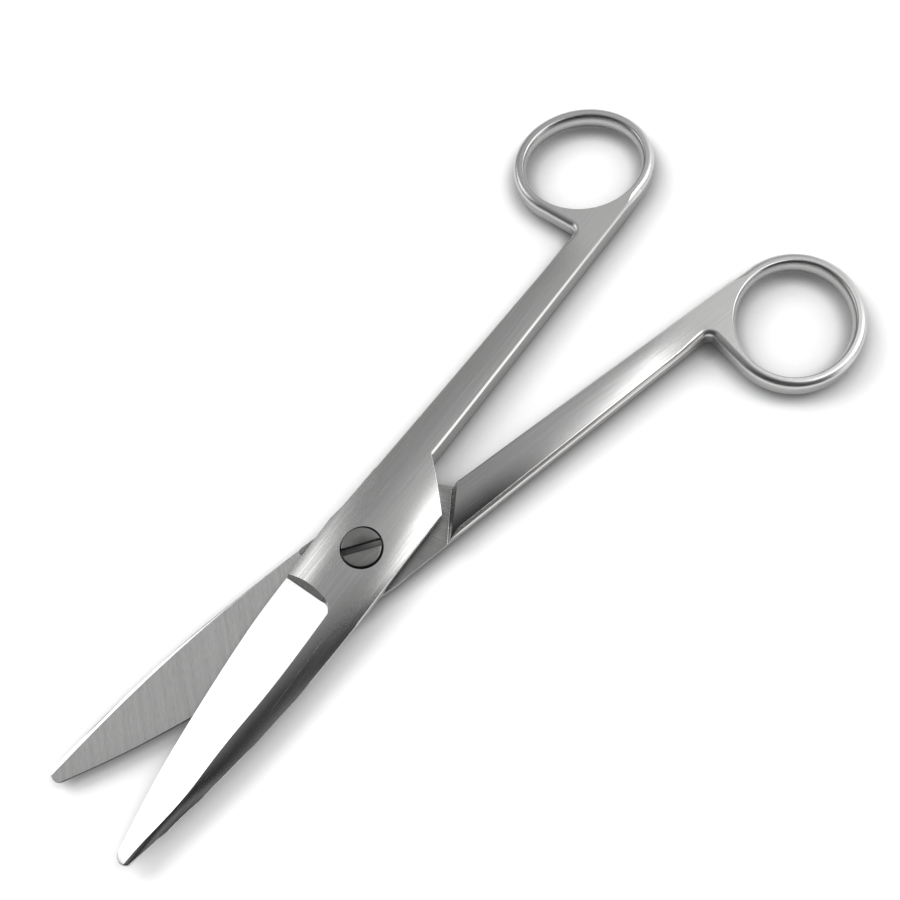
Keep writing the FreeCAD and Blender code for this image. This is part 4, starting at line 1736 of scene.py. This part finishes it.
    def lay_plan(self, mesh: bpy.types.Mesh) -> None:
        """Lays the plan coordinates along the slot, and on upright faces round the screw.

        Args:
            mesh: The screw's mesh.
        """
        layer = mesh.uv_layers.get("plan") or mesh.uv_layers.new(name="plan")
        c, s = math.cos(self.slot_angle), math.sin(self.slot_angle)
        for polygon in mesh.polygons:
            upright = abs(polygon.normal.z) < 0.5
            for loop in polygon.loop_indices:
                p = mesh.vertices[mesh.loops[loop].vertex_index].co / MM
                x, y = p.x - PIVOT[0], p.y
                u, v = x * c + y * s, y * c - x * s
                if upright:
                    in_slot = abs(polygon.normal.x * s - polygon.normal.y * c) > 0.9 and abs(v) < 1
                    u, v = (u, p.z) if in_slot else (math.atan2(v, u) * self.head_radius, p.z)
                layer.data[loop].uv = (u * PLAN_SCALE, v * PLAN_SCALE)


# The studio is laid out along the photo's own axes, turned from the row frame by this much
STUDIO_TURN = math.radians(-27.437833)
# Its axes in the row frame: to the right, to the far side, and up
TO_RIGHT = (math.cos(STUDIO_TURN), math.sin(STUDIO_TURN), 0.0)
TO_FAR = (-math.sin(STUDIO_TURN), math.cos(STUDIO_TURN), 0.0)
UPWARDS = (0.0, 0.0, 1.0)


@dataclass(frozen=True)
class Softbox:
    """A rectangular light that hangs level, with its reach to the left, right, front and back."""

    name: str
    left: float
    right: float
    front: float
    back: float
    brightness: float
    height: float = 0.8
    mirrored: bool = True

    def hang(self) -> None:
        """Hangs the softbox, facing down."""
        light = bpy.data.lights.new(self.name, "AREA")
        light.shape = "RECTANGLE"
        light.size, light.size_y = self.right - self.left, self.back - self.front
        light.energy = self.brightness * math.pi * light.size * light.size_y
        lamp = link(bpy.data.objects.new(self.name, light))
        lamp.visible_glossy = self.mirrored
        middle = Vector(((self.left + self.right) / 2, (self.front + self.back) / 2, self.height))
        lamp.matrix_world = Matrix.Rotation(STUDIO_TURN, 4, "Z") @ Matrix.Translation(middle)


@dataclass(frozen=True)
class Floor:
    """The plain pale floor, in metres, with the reach of its shade in millimetres."""

    half_width: float = 3.0
    tone: Point = (0.93, 0.95)
    glow: float = 0.18
    touch_reach: float = 3.5
    near_reach: float = 20.0

    def material(self) -> bpy.types.Material:
        """Makes the floor's material: pale, with painted shadow near the scissors, darkest where they touch
        it.

        Returns:
            The material.
        """
        material = bpy.data.materials.new("pale_floor")
        material.use_nodes = True
        graph = Graph(material.node_tree)
        place = graph.node("ShaderNodeTexCoord").outputs["Object"]
        grain = graph.spread(graph.noise(place, 60.0), *SOFT_RANGE, *self.tone)
        tone = graph.node("ShaderNodeCombineColor", {0: grain, 1: grain, 2: grain}).outputs[0]
        # Painted shadow: ambient occlusion darkens the floor's colour and glow close to the scissors
        touch = graph.spread(graph.openness(self.touch_reach, 8), 0.25, 0.9, 0.25, 1.0)
        near = graph.spread(graph.openness(self.near_reach, 8), 0.5, 1.0, 0.66, 1.0)
        shade = graph.math("MULTIPLY", touch, near)
        rays = graph.node("ShaderNodeLightPath").outputs
        seen = graph.math("MAXIMUM", rays["Is Camera Ray"], rays["Is Glossy Ray"])
        inputs = {
            "Base Color": graph.scaled(tone, shade),
            "Roughness": 0.9,
            "Specular IOR Level": 0.1,
            "Emission Color": (1.0, 1.0, 1.0, 1.0),
            "Emission Strength": graph.product(seen, shade, self.glow),
        }
        shader = graph.node("ShaderNodeBsdfPrincipled", inputs)
        graph.node("ShaderNodeOutputMaterial", {"Surface": shader.outputs[0]})
        return material

    def lay(self) -> None:
        """Lays the floor."""
        mesh = bpy.data.meshes.new("floor")
        h = self.half_width
        mesh.from_pydata([(-h, -h, 0), (h, -h, 0), (h, h, 0), (-h, h, 0)], [], [(0, 1, 2, 3)])
        floor = link(bpy.data.objects.new("floor", mesh))
        mesh.materials.append(self.material())
        floor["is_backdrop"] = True


@dataclass(frozen=True)
class Room:
    """The room that the steel reflects, and the pale light on the floor.

    Tones are brightnesses by how far a direction points along an axis, from -1 to 1.
    """

    # From the camera's side to the far side
    far_tones: Rows = (
        (-0.99, 0.01), (-0.86, 0.01), (-0.74, 0.15), (-0.66, 0.22), (-0.58, 0.05), (-0.5, 0.0),
        (-0.42, 0.0), (-0.33, 0.025), (-0.22, 0.1), (-0.1, 0.18), (0.0, 0.26), (0.15, 0.38),
        (0.3, 0.47), (0.45, 0.45), (0.6, 0.38), (0.78, 0.35), (0.99, 0.5),
    )
    # How that falls off from the right to the left
    lean_tones: Rows = (
        (-0.99, 0.5), (-0.5, 0.75), (-0.3, 0.95), (-0.1, 1.02), (0.1, 1.3), (0.3, 1.5), (0.99, 1.5),
    )
    # What lit walls add from the left to the right, and where they stand from front to back
    side_tones: Rows = ((-0.99, 0.3), (-0.85, 0.15), (-0.7, 0.0), (0.5, 0.0), (0.72, 1.7), (0.99, 2.0))
    wall_tones: Rows = ((-0.99, 0.5), (-0.8, 0.9), (-0.7, 1.0), (-0.5, 1.0), (-0.38, 0.35), (0.99, 0.35))
    # How the room darkens down to the horizon
    rise_tones: Rows = ((-0.99, 0.3), (0.0, 0.4), (0.12, 0.8), (0.3, 1.0), (0.99, 1.0))
    ambient: float = 0.46
    backdrop: float = 0.95

    def build(self) -> None:
        """Sets the world."""
        world = bpy.data.worlds.new("studio")
        bpy.context.scene.world = world
        world.use_nodes = True
        graph = Graph(world.node_tree)
        way = graph.node("ShaderNodeTexCoord").outputs["Generated"]
        far, lean, side, wall, rise = (
            self.tones(graph, way, axis, stops)
            for axis, stops in (
                (TO_FAR, self.far_tones), (TO_RIGHT, self.lean_tones), (TO_RIGHT, self.side_tones),
                (TO_FAR, self.wall_tones), (UPWARDS, self.rise_tones),
            )
        )
        lit = graph.math("ADD", graph.math("MULTIPLY", far, lean), graph.math("MULTIPLY", side, wall))
        room = graph.math("MULTIPLY", lit, rise)
        rays = graph.node("ShaderNodeLightPath").outputs
        backed = {0: rays["Is Camera Ray"], 2: room, 3: self.backdrop}
        seen = graph.node("ShaderNodeMix", backed).outputs[0]
        lighting = {0: rays["Is Diffuse Ray"], 2: seen, 3: self.ambient}
        light = graph.node("ShaderNodeMix", lighting).outputs[0]
        shader = graph.node("ShaderNodeBackground", {"Color": (1, 1, 1, 1), "Strength": light})
        graph.node("ShaderNodeOutputWorld", {"Surface": shader.outputs[0]})

    @staticmethod
    def tones(graph: Graph, way: Socket, axis: Tuple[float, float, float], stops: Rows) -> Socket:
        """Brightness by how far a direction points along an axis.

        Args:
            graph: The world's nodes.
            way: The direction.
            axis: The axis.
            stops: Place along the axis and brightness of each stop.

        Returns:
            The brightness.
        """
        dot = graph.node("ShaderNodeVectorMath", {0: way, 1: axis}, operation="DOT_PRODUCT")
        along = graph.spread(dot.outputs["Value"], -1.0, 1.0, 0.0, 1.0)
        ramp = graph.node("ShaderNodeValToRGB", {"Fac": along})
        elements = ramp.color_ramp.elements
        for place, tone in stops:
            elements.new((place + 1) / 2).color = (tone, tone, tone, 1.0)
        elements.remove(elements[-1])
        elements.remove(elements[0])
        return ramp.outputs["Color"]


@dataclass(frozen=True)
class PhotoCamera:
    """The camera as it stood for the photo, along the studio's axes and from the pivot."""

    half_frame: float = 450.0
    focal_length: float = 1219.9
    place: Tuple[float, float, float] = (20.487, -75.813, 206.674)
    forward: Tuple[float, float, float] = (0.0, 0.39696, -0.91784)
    roll: float = math.radians(-18.449)

    def build(self) -> None:
        """Sets the camera."""
        lens = bpy.data.cameras.new("photo_camera")
        lens.sensor_width = 36.0
        lens.sensor_fit = "HORIZONTAL"
        lens.angle = 2 * math.atan(self.half_frame / self.focal_length)
        lens.clip_start, lens.clip_end = 0.01, 10.0
        turn = Matrix.Rotation(STUDIO_TURN, 3, "Z")
        forward = turn @ Vector(self.forward)
        side = turn @ Vector((1.0, 0.0, 0.0))
        up = side.cross(forward)
        right = side * math.cos(self.roll) + up * math.sin(self.roll)
        above = -side * math.sin(self.roll) + up * math.cos(self.roll)
        matrix = Matrix((right, above, -forward)).transposed().to_4x4()
        matrix.translation = (turn @ Vector(self.place) + Vector(PIVOT)) * MM
        camera = link(bpy.data.objects.new("photo_camera", lens))
        camera.matrix_world = matrix
        bpy.context.scene.camera = camera


@dataclass(frozen=True)
class Studio:
    """Floor, room, lights and camera."""

    floor: Floor = Floor()
    room: Room = Room()
    camera: PhotoCamera = PhotoCamera()
    boxes: Tuple[Softbox, ...] = (
        Softbox("left_panel", -1.60, -0.45, 0.33, 0.84, 1.9),
        Softbox("left_wing", -1.90, -0.62, 0.84, 1.30, 1.9),
        Softbox("right_panel", 0.235, 1.76, -0.26, 0.22, 2.7),
        Softbox("floor_key", -1.15, -0.15, 0.30, 1.30, 4.4, mirrored=False),
    )

    def build(self) -> None:
        """Builds the studio and sets the plain view transform."""
        self.floor.lay()
        self.room.build()
        for box in self.boxes:
            box.hang()
        self.camera.build()
        bpy.context.scene.view_settings.view_transform = "Standard"
        log.info("studio: floor, room, %d softboxes, camera", len(self.boxes))


def plain_box(bounds: object) -> object:
    """Bounds as plain lists and numbers.


    Returns:
        The same as lists, dictionaries and numbers.
    """
    if isinstance(bounds, dict):
        return {str(key): plain_box(value) for key, value in bounds.items()}
    if isinstance(bounds, (list, tuple, Vector)):
        return [plain_box(value) for value in bounds]
    return float(bounds) if isinstance(bounds, (int, float)) else bounds


def main() -> None:
    """Builds the scene in order."""
    logging.basicConfig(level=logging.INFO, format="%(name)s: %(message)s")
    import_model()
    built_box = plain_box(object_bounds())
    log.info("packed model loaded, box %s", built_box)
    spacing = 0.55
    Halves(spacing=spacing).build()
    PivotScrew().build()
    Studio().build()
    shown_box = plain_box(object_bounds())
    log.info("visual box %s", shown_box)


if __name__ == "__main__":
    main()
